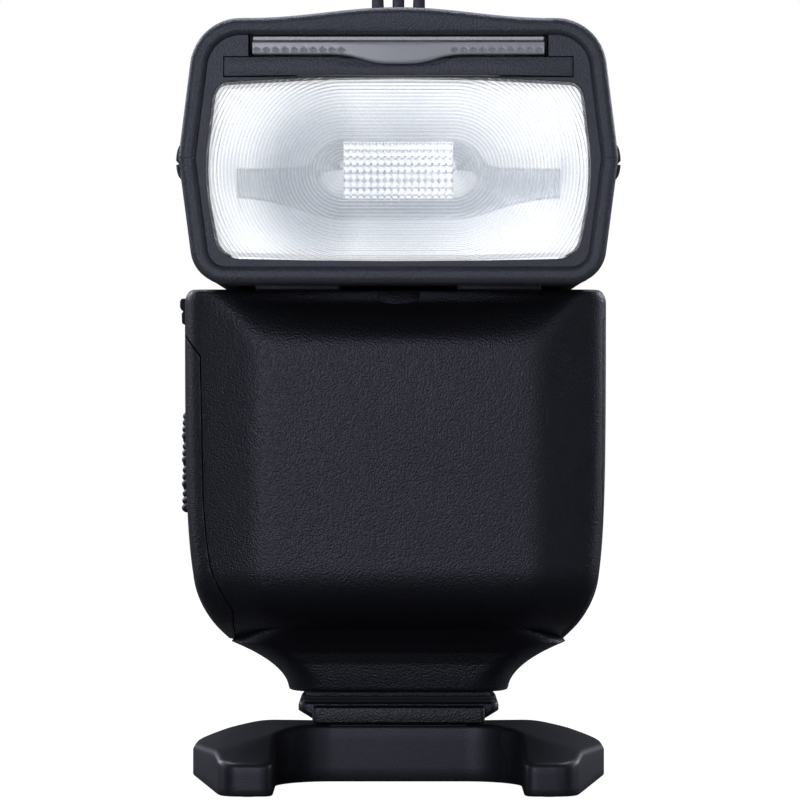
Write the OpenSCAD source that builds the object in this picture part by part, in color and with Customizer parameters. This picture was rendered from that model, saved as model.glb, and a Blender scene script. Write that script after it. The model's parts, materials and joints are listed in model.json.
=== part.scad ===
// Speedlight flash on its mini stand.
// Millimetres. +Z up, -Y is the side that the light leaves from, +X is to the right when facing that side.
// The origin is at the mouth of the stand's tripod socket, on the plane of the stand's underside.
// The swivel axis is the Z axis.

/* [Stand] */
// Width of the stand across its legs
stand_w = 76; // [74:0.5:78]
// Height of the stand's flat top, where the flash's foot goes in
stand_top = 10.6; // [10.4:0.1:10.8]
// How far the legs reach in front of the socket
leg_reach = 38; // [36:1:40]
// Radius of the 1/4 inch tripod thread's bore
socket_r = 2.55; // [2.5:0.05:2.6]

/* [Shoe foot] */
// Width of the foot plate
foot_w = 18.6; // [18.4:0.1:18.7]
// Length of the foot plate
foot_l = 18; // [17.5:0.1:18]
// Thickness of the foot plate
foot_t = 2; // [1.9:0.05:2]
// Drop of the locking pin
pin_drop = 1.9; // [1.5:0.1:2]

/* [Body] */
// Distance from the swivel axis to the right side
body_right = 38.5; // [38:0.1:39]
// Distance from the swivel axis to the left side, which carries the battery door
body_left = 39.6; // [39:0.1:40]
// Distance from the swivel axis to the front plateau
body_front = 33; // [32:0.5:34]
// Distance from the swivel axis to the rear face
body_rear = 31; // [30.5:0.5:32]
// Height of the body's top
body_top = 88.4; // [88:0.1:88.5]
// Wall thickness of the covers
wall = 2.2; // [2:0.1:2.4]
// Thickness of the side grip's rubber
grip_t = 1.2; // [1:0.1:1.4]

/* [Head] */
// Half the head's width at its parting line
head_half_w = 36.9; // [36.5:0.1:37]
// Height of the head's flat top
head_top = 133.5; // [133:0.1:134]
// Height of the line that parts the upper and lower shells
head_split = 110; // [109.8:0.1:111]
// Distance from the swivel axis to the head's front
head_front = 66; // [65:0.5:67]
// Travel of the wide panel
panel_travel = 36; // [30:1:38]
// Travel of the bounce card
card_travel = 38; // [30:1:40]
// Travel of the zoom carriage
zoom_travel = 16; // [12:1:16]

/* [Turret] */
// Radius of the swivel turret
turret_r = 29.5; // [29:0.1:29.6]
// Height of the tilt axis
tilt_z = 109; // [108.9:0.1:109.2]
// Distance of the tilt axis behind the swivel axis
tilt_y = 18; // [17:0.5:18]
// Half the width of the neck between the head's cheeks
neck_half_w = 19; // [18:0.5:19]

/* [Hidden] */

$fn = 48;
eps = 0.01;            // overshoot of a cut
gap = 0.3;             // clearance between parts that move past each other
far = 200;             // longer than any piece
seat_gap = 0.1;        // clearance between fixed pieces that face each other

foot_z0 = stand_top - 1.8 - foot_t;    // underside of the foot plate
foot_z1 = foot_z0 + foot_t;
foot_front = -9.9;
neck_w = 12.4;
pin_pos = [0, -7.5];
pin_r = 1.2;
house_z0 = stand_top + 0.3;
house_z1 = 14.6;
seal_z1 = 15.9;
skirt_z0 = 16.8;
seam_z = 28.6;         // between the skirt and the covers, at the middle
seam_low = 25.8;       // and at the sides
parting_y = 2;         // between the front and rear covers

door_top = 81.5;
door_rear = 12.6;
door_pin = [-37.9, 14];
door_pin_r = 0.6;
flap_x0 = -39.2;
flap_x1 = -37.8;
flap_y0 = -21;
flap_y1 = -9;
flap_z0 = 82.9;
flap_z1 = 87.6;

cell_r = 7.2;
cell_l = 50;
cell_x0 = -33;
cell_y = [-14.6, 0.4];
cell_z = [42, 57];

dial_z = 42.2;
dial_r = 8.6;
key_z = 53.6;
key_x = [-19.5, -6.5, 6.5, 19.5];
side_key_x = 17;
panel_z = 69.6;        // middle of the display
panel_half = [23, 10.6];

turret_top = 88.9;
turret_bottom = 85.2;
journal_r = 12;
drum_r = 16.5;
axle_r = 3;

bezel_back = -55;
tail_r = 19.5;         // radius of the head's rear about the tilt axis
lower_z = 89.4;        // underside of the head
cheek_gap = 0.4;
lens_y = -64.6;
lens_t = 2.2;
slot_half = 24.8;
cover_half = 29.3;
strip_z0 = 124.1;      // foot of the strip over the lens
slot_z0 = 127.1;
slot_z1 = 130.6;
screw_pos = [28, 99];
beam_z = 108;          // middle of the light beam

// Points of an arc about [cx, cy] of radius r from angle a0 to angle a1
function arc(cx, cy, r, a0, a1, n = 6) =
    [for (i = [0:n]) let (a = a0 + (a1 - a0) * i / n) [cx + r * cos(a), cy + r * sin(a)]];
// The same points on the other side of the middle plane, in reverse order
function mirrored(points) = [for (i = [len(points) - 1:-1:0]) [-points[i][0], points[i][1]]];
function both_sides(points) = concat(points, mirrored(points));

// Extrudes an outline drawn in X and Z along Y
module along_y(y0, y1) translate([0, y1, 0]) rotate([90, 0, 0]) linear_extrude(y1 - y0) children();
// Extrudes an outline drawn in Y and Z along X
module along_x(x0, x1) translate([x0, 0, 0]) rotate([90, 0, 90]) linear_extrude(x1 - x0) children();
// A box from its lowest to its highest corner
module block(a, b) translate(a) cube(b - a);
// A cylinder along X, Y or Z between two places on its axis
module rod_x(x0, x1, y, z, r) translate([x0, y, z]) rotate([0, 90, 0]) cylinder(h = x1 - x0, r = r);
module rod_y(y0, y1, x, z, r) translate([x, y0, z]) rotate([-90, 0, 0]) cylinder(h = y1 - y0, r = r);
module rod_z(z0, z1, x, y, r) translate([x, y, z0]) cylinder(h = z1 - z0, r = r);
// A bar along Y with round ends in X
module pill(y0, y1, x, z, w, h) {
    block([x - w / 2 + h / 2, y0, z - h / 2], [x + w / 2 - h / 2, y1, z + h / 2]);
    for (s = [-1, 1]) rod_y(y0, y1, x + s * (w - h) / 2, z, h / 2);
}

// ---- Stand ----

stand_side = stand_w / 2;
stand_plan = both_sides(concat(
    [[0, 23]], arc(18, 6, 17, 90, 70), arc(stand_side - 14, 7, 14, 60, 0),
    [[stand_side, 0], [31, -leg_reach + 8]], arc(26.3, -leg_reach + 3, 3, -20, -90, 4),
    arc(24, -leg_reach + 2, 2, -90, -180, 4), arc(12, -21.5, 10, 0, 90)));
stand_crest = both_sides([[0, stand_top], [16, stand_top], [20, 10.1], [25, 8.7], [32, 7.4], [stand_side, 5.6],
    [stand_side + 1, 0]]);
stand_slope = [[25, 0], [25, 8.1], [21, 8.6], [-12, 10.9], [-leg_reach - 1, 5.6], [-leg_reach - 1, 0]];

module stand_base() color([0.2, 0.2, 0.23]) difference() {
    union() {
        intersection() {
            linear_extrude(stand_top + 1) polygon(stand_plan);
            along_y(-far, far) polygon(stand_crest);
            along_x(-far, far) polygon(stand_slope);
        }
        block([-13, -11.3, 5], [13, 11, stand_top]);
    }
    block([-foot_w / 2 - 0.2, 11, foot_z0 - 0.1], [foot_w / 2 + 0.2, far, far]);
    block([-foot_w / 2 - 0.2, foot_front - gap, foot_z0 - 0.1], [foot_w / 2 + 0.2, far, foot_z1 + 0.15]);
    block([-neck_w / 2 - 0.3, foot_front - gap, foot_z0], [neck_w / 2 + 0.3, far, far]);
    rod_z(foot_z0 - pin_drop - 0.7, foot_z0, pin_pos[0], pin_pos[1], pin_r + 0.25);
    rod_z(-eps, 6, 0, 0, 4.5);
}

module tripod_bush() color([0.75, 0.6, 0.3]) difference() {
    rod_z(0, 6, 0, 0, 4.5);
    rod_z(-eps, 6 + eps, 0, 0, socket_r);
}

module stand_pads() color([0.1, 0.1, 0.11]) {
    for (s = [-1, 1]) {
        rod_z(-0.4, 0, s * 26.5, -leg_reach + 6, 2.4);
        rod_z(-0.4, 0, s * 26.5, 14, 2.4);
    }
}

// ---- Shoe foot ----

contact_xy = [[0, 0], [-2.8, 5.4], [2.8, 5.4], [-6, 3.4], [6, 3.4]];
contact_r = [1.6, 0.75, 0.75, 0.75, 0.75];
foot_screw_xy = [[-11.5, -12], [11.5, -12], [-13, -3], [13, -3]];

module shoe_foot() color([0.55, 0.56, 0.58]) difference() {
    union() {
        block([-foot_w / 2, foot_front, foot_z0], [foot_w / 2, foot_front + foot_l, foot_z1]);
        block([-neck_w / 2, foot_front, foot_z1 - eps], [neck_w / 2, foot_front + foot_l, house_z0]);
    }
    for (i = [0:4]) rod_z(foot_z0 - eps, foot_z0 + 1, contact_xy[i][0], contact_xy[i][1], contact_r[i]);
    rod_z(0, far, pin_pos[0], pin_pos[1], pin_r + 0.05);
}

module shoe_contacts() color([0.85, 0.75, 0.45])
    for (i = [0:4]) rod_z(foot_z0 - 0.05, foot_z0 + 1, contact_xy[i][0], contact_xy[i][1], contact_r[i]);

house_side = [[15.4, house_z0], [15.4, house_z0 + 0.4], [18.2, 13], [18.2, 14.2], [17.8, house_z1]];

module foot_housing() color([0.16, 0.16, 0.19]) difference() {
    union() {
        along_y(-12.5, 13) polygon(both_sides(house_side));
        block([-15.6, -16, house_z0], [15.6, -12.5 + eps, house_z1 - 0.6]);
    }
    rod_z(12, 14, 0, 0, 10.4);
    block([-far, 2, 12], [far, far, 14]);
    rod_z(0, 12 + eps, pin_pos[0], pin_pos[1], pin_r + 0.05);
    for (p = foot_screw_xy) rod_z(0, house_z0 + 1, p[0], p[1], 1.3);
}

module foot_seal() color([0.08, 0.08, 0.09]) block([-17.5, -15, house_z1], [17.5, 14, seal_z1]);

module foot_screws() color("silver") for (p = foot_screw_xy) difference() {
    rod_z(house_z0 + 0.1, house_z0 + 1, p[0], p[1], 1.25);
    for (turn = [0, 90]) translate([p[0], p[1], house_z0]) rotate([0, 0, turn]) cube([1.6, 0.3, 0.8], center = true);
}

// The lever rests to the left, unlocked, and locks to the right
module lock_lever() color([0.14, 0.14, 0.16]) rotate([0, 0, 30]) difference() {
    union() {
        rod_z(12.2, 13.8, 0, 0, 10);
        block([-3.5, 0, 12.2], [3.5, 20, 13.8]);
        block([-6, 19, 11.6], [6, 22, 14.3]);
    }
    for (x = [-4:2:4]) block([x - 0.3, 21.6, 11], [x + 0.3, 22.2, 15]);
}

module lock_pin() color("silver") rod_z(foot_z0 + 0.1, 11.8, pin_pos[0], pin_pos[1], pin_r);

// ---- Body ----

// Outline in X and Z, drawn in by t
function body_face(t) = concat(
    [[-body_left + t, body_top - t], [body_right - t, body_top - t]],
    arc(25.5, 38, 12 - t, 0, -90, 5), arc(-25.9, 38, 12 - t, -90, -180, 5));
// Outline in Y and Z, drawn in by t
function body_side(t) = concat(
    [[-27.6 + t, body_top - t], [-29.2 + t, 86.4], [-body_front + t, 79.7]],
    arc(-body_front + 12, 40, 12 - t, 180, 250, 5), [[-17, 26 + t], [20, 26 + t]],
    arc(body_rear - 7, 35, 7 - t, 290, 360, 5),
    [[body_rear - t, 82], [body_rear - 2 - t, body_top - t]]);
// Outline in X and Y, drawn in by t
function body_plan(t) = concat(
    [[-24.7, -body_front + t], [24.7, -body_front + t], [34.2 - t, -29.1 + t]],
    arc(body_right - 6.3, -24, 5 - t, -35, 0, 2), [[body_right - t, 2]],
    arc(body_right - 7, body_rear - 7, 7 - t, 0, 90, 5),
    arc(-body_left + 7, body_rear - 7, 7 - t, 90, 180, 5), [[-body_left + t, 2]],
    arc(-body_left + 6.3, -24, 5 - t, 180, 215, 2), [[-35.2 + t, -29.1 + t]]);

module body_block(t) intersection() {
    along_y(-far, far) polygon(body_face(t));
    along_x(-far, far) polygon(body_side(t));
    linear_extrude(far) polygon(body_plan(t));
}

// The battery door's outline in X and Z, drawn in by t
module door_region(t) along_y(-far, door_rear - t) polygon([[-35 - t, 77.2 - t], [-38.2 - t, door_top - t],
    [-far, door_top - t], [-far, 22], [-29.3 - t, 22], [-29.3 - t, 32], [-31.7 - t, 36.2],
    [-33.2 - t, 39.9], [-33.9 - t, 44.4], [-34.5 - t, 51.7]]);
module grip_region() along_y(-28.6, 14) polygon([[36.3, 84], [36.3, 42], [35, 37], [32.4, 31.5], [29.5, 27.4],
    [29.5, 20], [far, 20], [far, 84]]);
module flap_box(t) block([-body_left - 1, flap_y0 - t, flap_z0 - t], [flap_x1 + t, flap_y1 + t, flap_z1 + t]);
module hinge_groove() rod_z(seam_low, door_top, door_pin[0], door_pin[1], 2.3);

// Everything below the seam between the covers and the skirt
module under_seam() along_y(-far, far) polygon([[-far, 0], [far, 0], [far, seam_low], [29.3, seam_low],
    [25.5, seam_z], [-25.5, seam_z], [-29.3, seam_low], [-far, seam_low]]);

// What both covers are made from
module cover_shell() difference() {
    body_block(0);
    body_block(wall);
    rod_z(turret_bottom - gap, far, 0, 0, turret_r + gap);
    door_region(0);
    difference() {
        grip_region();
        body_block(grip_t);
    }
    under_seam();
}
// The deck under the turret
module deck(y0, y1) difference() {
    intersection() {
        block([-30.6, y0, 82.6], [30.6, y1, turret_bottom - gap]);
        rod_z(82, 86, 0, 0, 30.6);
        body_block(1);
    }
    rod_z(80, 90, 0, 0, 16);
}

module front_cover() color([0.14, 0.14, 0.17]) difference() {
    union() {
        intersection() {
            cover_shell();
            block([-far, -far, 0], [far, parting_y, far]);
        }
        deck(-30.6, parting_y);
    }
    flap_box(gap);
    rod_x(-far, -30, -17.5, 85.2, 1.9);
}

module rear_cover() color([0.14, 0.14, 0.17]) difference() {
    union() {
        intersection() {
            cover_shell();
            block([-far, parting_y, 0], [far, far, far]);
        }
        deck(parting_y, 30.6);
    }
    hinge_groove();
    block([-40, 12, 46.4], [-35, 15.2, 62.4]);
    block([-panel_half[0] - 1, 20, panel_z - panel_half[1] - 1], [panel_half[0] + 1, far, panel_z + panel_half[1] + 1]);
    for (x = key_x) pill(20, far, x, key_z, 8.6, 4.2);
    for (x = [-side_key_x, side_key_x]) rod_y(20, far, x, 46, 2.8);
    rod_y(20, far, -side_key_x, 38.6, 2.8);
    rod_y(20, far, 0, dial_z, 4.35);
    pill(20, far, side_key_x, 38.6, 10.6, 3.1);
    for (s = [-1, 1]) rod_y(20, far, s * 30, 37, 1.3);
    for (s = [-1, 1]) rod_y(20, far, s * 31.5, 80, 1.3);
}

module lower_skirt() color([0.14, 0.14, 0.17]) difference() {
    union() {
        intersection() {
            along_y(-far, far) polygon(both_sides(concat([[25.5, seam_z], [29.3, seam_low]],
                arc(29.3, 16.2, 9.6, 90, 177, 7), [[19.4, skirt_z0]])));
            along_x(-far, far) polygon([[-24, seam_z], [-20, 24], [-19, skirt_z0], [19, skirt_z0], [20, 24],
                [27, seam_z]]);
        }
        block([-16.8, -14.4, seal_z1], [16.8, 13.4, skirt_z0 + eps]);
    }
    block([-17, -16, 19], [17, 16, far]);
    rod_z(seal_z1 - 1, 20, 0, 0, 6);
}

module side_grip() color([0.1, 0.1, 0.11]) difference() {
    intersection() {
        body_block(0);
        grip_region();
    }
    body_block(grip_t);
    under_seam();
}

knuckle_z = [[43.6, 49.6], [62.4, 68.4]];

module battery_door() color([0.14, 0.14, 0.17]) {
    difference() {
        intersection() {
            body_block(0);
            door_region(0.25);
        }
        body_block(wall);
    }
    for (k = knuckle_z) difference() {
        union() {
            rod_z(k[0], k[1], door_pin[0], door_pin[1], 1.1);
            block([door_pin[0] - 0.5, 10, k[0]], [door_pin[0] + 1, door_pin[1], k[1]]);
        }
        rod_z(k[0] - 1, k[1] + 1, door_pin[0], door_pin[1], door_pin_r + 0.05);
    }
    for (row = [0:3], dot = [0:2])
        rod_x(-body_left + 0.2, -body_left + 2.4, -4 - dot * 3.4, 65 - row * 4.4 - dot * 1.3, 0.9);
}

module door_hinge_leaf() color("dimgray") difference() {
    union() {
        rod_z(50, 62, door_pin[0], door_pin[1], 1.1);
        block([door_pin[0], door_pin[1] - 0.6, 50], [-34.6, door_pin[1] + 0.6, 62]);
        block([-35.6, door_pin[1] - 0.6, 50], [-34.6, 24, 62]);
    }
    rod_z(40, 70, door_pin[0], door_pin[1], door_pin_r);
}

module door_hinge_pin() color("silver") rod_z(43.6, 68.4, door_pin[0], door_pin[1], door_pin_r);

module door_contacts() color([0.85, 0.75, 0.45]) for (y = cell_y)
    block([-35.4, y - 3, cell_z[0] - 3], [-34.8, y + 3, cell_z[1] + 3]);

// ---- Battery and electronics ----

module battery_box() color([0.12, 0.12, 0.13]) difference() {
    block([cell_x0 - 0.8, cell_y[0] - 8.6, cell_z[0] - 8.6], [cell_x0 + cell_l + 1.6, cell_y[1] + 8.6,
        cell_z[1] + 8.6]);
    for (y = cell_y, z = cell_z) rod_x(-far, cell_x0 + cell_l + 0.8, y, z, cell_r + 0.25);
}
module battery_cells() color([0.3, 0.45, 0.35]) for (y = cell_y, z = cell_z) {
    rod_x(cell_x0, cell_x0 + cell_l - 1.2, y, z, cell_r);
    rod_x(cell_x0 + cell_l - 1.2 - eps, cell_x0 + cell_l, y, z, 2.7);
}
module end_contacts() color([0.85, 0.75, 0.45]) for (y = cell_y, z = cell_z)
    rod_x(cell_x0 + cell_l + 0.1, cell_x0 + cell_l + 0.8, y, z, 4);
module main_capacitor() color([0.15, 0.2, 0.35]) rod_z(37, 79, 26.8, -17.8, 7.8);
module main_board() color([0.1, 0.35, 0.2]) block([-31, 11, 34], [31, 12.6, 80]);
module key_board() color([0.1, 0.35, 0.2]) block([-29, 24.6, 36], [29, 25.8, 57]);

// ---- Rear controls ----

module display_bezel() color([0.12, 0.12, 0.14]) difference() {
    block([-27.5, body_rear, panel_z - 13], [27.5, body_rear + 1.2, panel_z + 12.2]);
    block([-panel_half[0] + 0.6, 0, panel_z - panel_half[1] + 0.4],
          [panel_half[0] - 0.6, far, panel_z + panel_half[1] - 0.4]);
}
module display_window() color([0.5, 0.55, 0.6, 0.4])
    block([-panel_half[0] - 0.8, body_rear - 1, panel_z - panel_half[1]],
          [panel_half[0] + 0.8, body_rear - seat_gap, panel_z + panel_half[1]]);
module display_panel() color([0.35, 0.42, 0.38])
    block([-panel_half[0], body_rear - 3.4, panel_z - panel_half[1]],
          [panel_half[0], body_rear - 1.1, panel_z + panel_half[1]]);
module select_dial() color([0.12, 0.12, 0.14]) difference() {
    rod_y(body_rear + 0.2, body_rear + 2.6, 0, dial_z, dial_r);
    rod_y(body_rear, body_rear + 3, 0, dial_z, 4.5);
    for (turn = [0:15:345]) translate([0, body_rear + 1.4, dial_z]) rotate([0, turn, 0])
        translate([dial_r, 0, 0]) cube([0.7, 3, 0.8], center = true);
}
module set_button() color([0.16, 0.16, 0.18]) rod_y(27.4, body_rear + 2.8, 0, dial_z, 4.1);
module soft_key(x) color([0.2, 0.2, 0.22]) pill(27.4, body_rear + 1.1, x, key_z, 8, 3.6);
module soft_key_1() soft_key(key_x[0]);
module soft_key_2() soft_key(key_x[1]);
module soft_key_3() soft_key(key_x[2]);
module soft_key_4() soft_key(key_x[3]);
module round_key(x, z) color([0.2, 0.2, 0.22]) rod_y(27.4, body_rear + 1.1, x, z, 2.5);
module menu_button() round_key(-side_key_x, 46);
module mode_button() round_key(side_key_x, 46);
module test_button() round_key(-side_key_x, 38.6);
module power_switch() color([0.2, 0.2, 0.22]) {
    pill(27.4, body_rear + 0.2, side_key_x - 2.5, 38.6, 5, 2.5);
    pill(body_rear + 0.2, body_rear + 1.9, side_key_x - 2.5, 38.6, 5.4, 3.4);
}
module terminal_cover() color([0.1, 0.1, 0.11]) block([flap_x0, flap_y0, flap_z0], [flap_x1, flap_y1, flap_z1]);
module sync_socket() color([0.6, 0.6, 0.62]) difference() {
    rod_x(-37.3, -31, -17.5, 85.2, 1.7);
    rod_x(-38, -33, -17.5, 85.2, 0.9);
}
module case_screws() color("silver") {
    for (s = [-1, 1]) rod_y(29.4, 30.6, s * 30, 37, 1.25);
    for (s = [-1, 1]) rod_y(29.4, 30.6, s * 31.5, 80, 1.25);
}

// ---- Turret ----

module swivel_bearing() color("silver") difference() {
    rod_z(82.6, 84.6, 0, 0, 15.9);
    rod_z(80, 86, 0, 0, journal_r + 0.05);
}
module turret() color([0.13, 0.13, 0.15]) difference() {
    union() {
        rod_z(turret_bottom, turret_top, 0, 0, turret_r);
        rod_z(81, turret_bottom + eps, 0, 0, journal_r);
        rod_x(-neck_half_w, neck_half_w, tilt_y, tilt_z, drum_r);
        block([-neck_half_w, tilt_y - drum_r, turret_top - eps], [neck_half_w, tilt_y + drum_r, tilt_z]);
    }
    rod_z(80, 87, 0, 0, 8);
    rod_x(-far, far, tilt_y, tilt_z, axle_r + 0.05);
}
module swivel_clip() color("silver") difference() {
    rod_z(81.2, 82.3, 0, 0, 14);
    rod_z(80, 83, 0, 0, journal_r + 0.05);
}
module tilt_axle() color("silver") rod_x(-27, 27, tilt_y, tilt_z, axle_r);

// ---- Head ----

// Outline in X and Z, drawn in by t
function head_face(t) = both_sides(concat(
    arc(28.4, lower_z + 5.5, 6.1 - t, -90, -8, 6), [[head_half_w - t, head_split]],
    arc(26.4, head_top - 8.6, 8.6 - t, 10, 90, 6)));
// Outline in Y and Z, drawn in by t
function head_side(t) = concat(
    [[-head_front, lower_z + t]], arc(tilt_y, tilt_z, tail_r - t, -90, 0, 8),
    arc(tilt_y + tail_r - 7, 121, 7 - t, 0, 66, 4), [[2, head_top - t], [-head_front, head_top - t]]);

module head_solid(t) intersection() {
    along_y(bezel_back, far) polygon(head_face(t));
    along_x(-far, far) polygon(head_side(t));
}
// The way through the head for the turret's neck
module neck_way(t) block([-neck_half_w - cheek_gap - t, tilt_y - drum_r - 0.5 - t, 0],
    [neck_half_w + cheek_gap + t, far, tilt_z + drum_r + 0.5 + t]);

module head_shell() difference() {
    head_solid(0);
    difference() {
        head_solid(2);
        neck_way(1.8);
    }
    neck_way(0);
    block([-slot_half - 0.4, -far, slot_z0 - 0.1], [slot_half + 0.4, -20, slot_z1 + 0.1]);
    rod_x(-27.5, 27.5, tilt_y, tilt_z, axle_r + 0.05);
    rod_x(30, far, tilt_y, tilt_z, 5.3);
}
module hump(y0, y1) along_y(y0, y1) polygon(both_sides([[22, head_top - 1], [22, head_top], [16, 134],
    [9, 134.9], [3.5, 135.3]]));

module upper_shell() color([0.24, 0.24, 0.28]) {
    intersection() {
        head_shell();
        block([-far, -far, head_split], [far, far, far]);
    }
    hump(bezel_back, -30);
}
module lower_shell() color([0.24, 0.24, 0.28]) intersection() {
    head_shell();
    block([-far, -far, 0], [far, far, head_split]);
}

// Outline of the bezel in X and Z
function bezel_face(t) = both_sides(concat(
    arc(28.9, 94.9, 6 - t, -90, -8, 6), [[head_half_w - t, head_split]],
    arc(26.4, head_top - 8.6, 8.6 - t, 10, 90, 6)));
// Barrel outline of the lens in X and Z, grown by t
function lens_face(t) = both_sides(concat(
    [[0, 92.75 - t]], arc(26.6, 97.3, 4.2 + t, -88, -8, 4), [[32.1 + t, 104], [32.3 + t, beam_z], [32.1 + t, 113]],
    arc(28.4, 120.1, 2.7 + t, 5, 84, 4), [[14, 123.5 + t], [0, 123.7 + t]]));

module front_bezel() color([0.24, 0.24, 0.28]) difference() {
    union() {
        along_y(-head_front, -64.8) polygon(bezel_face(1));
        along_y(-64.8, bezel_back) polygon(bezel_face(0));
        hump(-64.8, bezel_back);
    }
    along_y(-70, -64.9) polygon(bezel_face(2.9));
    along_y(-70, -50) polygon(lens_face(0.15));
    block([-cover_half - 0.1, -far, strip_z0 - 0.6], [cover_half + 0.1, -62, slot_z0]);
    block([-slot_half - 0.4, -far, slot_z0 - 0.1], [slot_half + 0.4, far, slot_z1 + 0.1]);
}

module fresnel_lens() color([0.9, 0.93, 0.95, 0.5]) along_y(lens_y, lens_y + lens_t) polygon(lens_face(0));

module slot_cover() color([0.14, 0.14, 0.16]) difference() {
    block([-cover_half, -64.4, strip_z0], [cover_half, -62.2, slot_z0 - 0.1]);
    block([-7.6, -65, slot_z0 - 1.5], [7.6, -60, far]);
}

module wide_panel() color([0.7, 0.72, 0.75, 0.6]) {
    block([-24.5, -64.4, 127.5], [24.5, -58 + panel_travel, 128.7]);
    block([-24.5, -64.4, 127.3], [24.5, -63, 129.5]);
    block([-7.2, -64.4, 125.9], [7.2, -63, 127.4]);
}
module bounce_card() color("white") block([-24.5, -64.4, 129.8], [24.5, -59 + card_travel, 130.4]);

// The reflector is an open trough with its tube at the focus
module reflector() color([0.85, 0.86, 0.88]) along_x(-26, 26) polygon(concat(
    [for (i = [-6:6]) [-31 - 17 * i * i / 36, beam_z + i * 13.4 / 6]],
    [for (i = [6:-1:-6]) [-32 - 16 * i * i / 36, beam_z + i * 12.6 / 6]]));
module flash_tube() color([0.95, 0.9, 0.8]) rod_x(-27, 27, -36, beam_z, 1.9);
module zoom_carriage() color([0.3, 0.3, 0.32]) difference() {
    union() {
        block([-27.6, -37.6, 93], [-26.2, -26, 122]);
        block([26.2, -37.6, 93], [27.6, -26, 122]);
        block([-27.6, -30.6, 93], [27.6, -26, 122]);
        for (s = [-1, 1]) block([min(s * 26.2, s * 30.6), -30.6, 96.6], [max(s * 26.2, s * 30.6), -26, 101.4]);
    }
    rod_x(-27.1, 27.1, -36, beam_z, 2.1);
    rod_y(-40, -20, screw_pos[0], screw_pos[1], 1.8);
    rod_y(-40, -20, -screw_pos[0], screw_pos[1], 1.3);
}
module lead_screw() color("silver") {
    rod_y(-52, -24 + zoom_travel, screw_pos[0], screw_pos[1], 1.2);
    for (y = [-50:2:-12]) rod_y(y, y + 1, screw_pos[0], screw_pos[1], 1.5);
}
module guide_rod() color("silver") rod_y(-52, -6, -screw_pos[0], screw_pos[1], 1);
module zoom_motor() color([0.4, 0.4, 0.42]) difference() {
    rod_y(-9.4, 1, screw_pos[0], screw_pos[1], 3.6);
    rod_y(-10, -7, screw_pos[0], screw_pos[1], 1.6);
}
module tilt_button() color([0.16, 0.16, 0.18]) rod_x(29, head_half_w + 0.9, tilt_y, tilt_z, 5);

module adapter_catches() color([0.16, 0.16, 0.18]) {
    for (s = [-1, 1]) {
        difference() {
            block([s > 0 ? 36.2 : -37.7, -58, 106.6], [s > 0 ? 37.7 : -36.2, -46, 113]);
            block([s > 0 ? 37.2 : -40, -59, 108.8], [s > 0 ? 40 : -37.2, -45, 110.4]);
            along_y(-100, 0) polygon(bezel_face(0));
        }
        block([s > 0 ? 10 : -24.4, -53.5, 88.1], [s > 0 ? 24.4 : -10, -49.4, lower_z]);
    }
}
module top_ribs() color([0.16, 0.16, 0.18]) for (x = [-3.5, 0, 3.5]) {
    block([x - 1, -60, 135.3], [x + 1, -46, 137]);
    rod_y(-60, -46, x, 137, 1);
}

stand_base();
tripod_bush();
stand_pads();
shoe_foot();
shoe_contacts();
foot_housing();
foot_seal();
foot_screws();
lock_lever();
lock_pin();
lower_skirt();
front_cover();
rear_cover();
side_grip();
battery_door();
door_hinge_leaf();
door_hinge_pin();
door_contacts();
battery_box();
battery_cells();
end_contacts();
main_capacitor();
main_board();
key_board();
display_bezel();
display_window();
display_panel();
select_dial();
set_button();
soft_key_1();
soft_key_2();
soft_key_3();
soft_key_4();
menu_button();
mode_button();
test_button();
power_switch();
terminal_cover();
sync_socket();
case_screws();
swivel_bearing();
turret();
swivel_clip();
tilt_axle();
upper_shell();
lower_shell();
front_bezel();
fresnel_lens();
slot_cover();
wide_panel();
bounce_card();
reflector();
flash_tube();
zoom_carriage();
lead_screw();
guide_rod();
zoom_motor();
tilt_button();
adapter_catches();
top_ribs();
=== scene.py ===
import json
import math

import bpy
import bmesh
import numpy as np
from mathutils import Matrix, Vector

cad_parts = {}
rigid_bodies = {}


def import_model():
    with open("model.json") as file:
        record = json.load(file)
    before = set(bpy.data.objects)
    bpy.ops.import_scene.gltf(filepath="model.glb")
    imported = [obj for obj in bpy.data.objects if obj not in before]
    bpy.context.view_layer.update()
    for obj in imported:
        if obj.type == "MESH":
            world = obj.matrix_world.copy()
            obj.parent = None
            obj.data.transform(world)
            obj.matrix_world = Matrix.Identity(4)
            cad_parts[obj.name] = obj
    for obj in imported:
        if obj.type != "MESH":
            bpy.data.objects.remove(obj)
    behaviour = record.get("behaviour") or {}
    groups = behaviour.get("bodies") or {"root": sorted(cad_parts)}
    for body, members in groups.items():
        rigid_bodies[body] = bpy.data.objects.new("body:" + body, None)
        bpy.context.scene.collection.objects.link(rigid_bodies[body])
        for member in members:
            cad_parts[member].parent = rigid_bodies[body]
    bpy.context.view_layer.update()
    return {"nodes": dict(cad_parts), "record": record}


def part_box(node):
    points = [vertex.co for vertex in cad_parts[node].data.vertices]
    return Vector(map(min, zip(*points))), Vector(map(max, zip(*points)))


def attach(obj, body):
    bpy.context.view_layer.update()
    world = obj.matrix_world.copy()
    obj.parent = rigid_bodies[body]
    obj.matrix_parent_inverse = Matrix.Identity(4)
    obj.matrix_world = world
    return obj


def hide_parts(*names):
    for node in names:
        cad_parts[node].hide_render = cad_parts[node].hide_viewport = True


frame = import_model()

scene = bpy.context.scene
mm = 0.001               # every size below is in millimetres, and meshes are in metres
tau = 2 * math.pi
mergeDistance = 0.000002  # points closer than this become one, in metres
nodeBody = {node: body for body, nodes in frame["record"]["behaviour"]["bodies"].items() for node in nodes}
nodeSlot = {row["node"]: row["material_slot"] for row in frame["record"]["subparts"]}


def nodeBox(node):
    # lowest and highest corner of a CAD node, in millimetres
    low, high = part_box(node)
    return np.array(low) / mm, np.array(high) / mm


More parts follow.
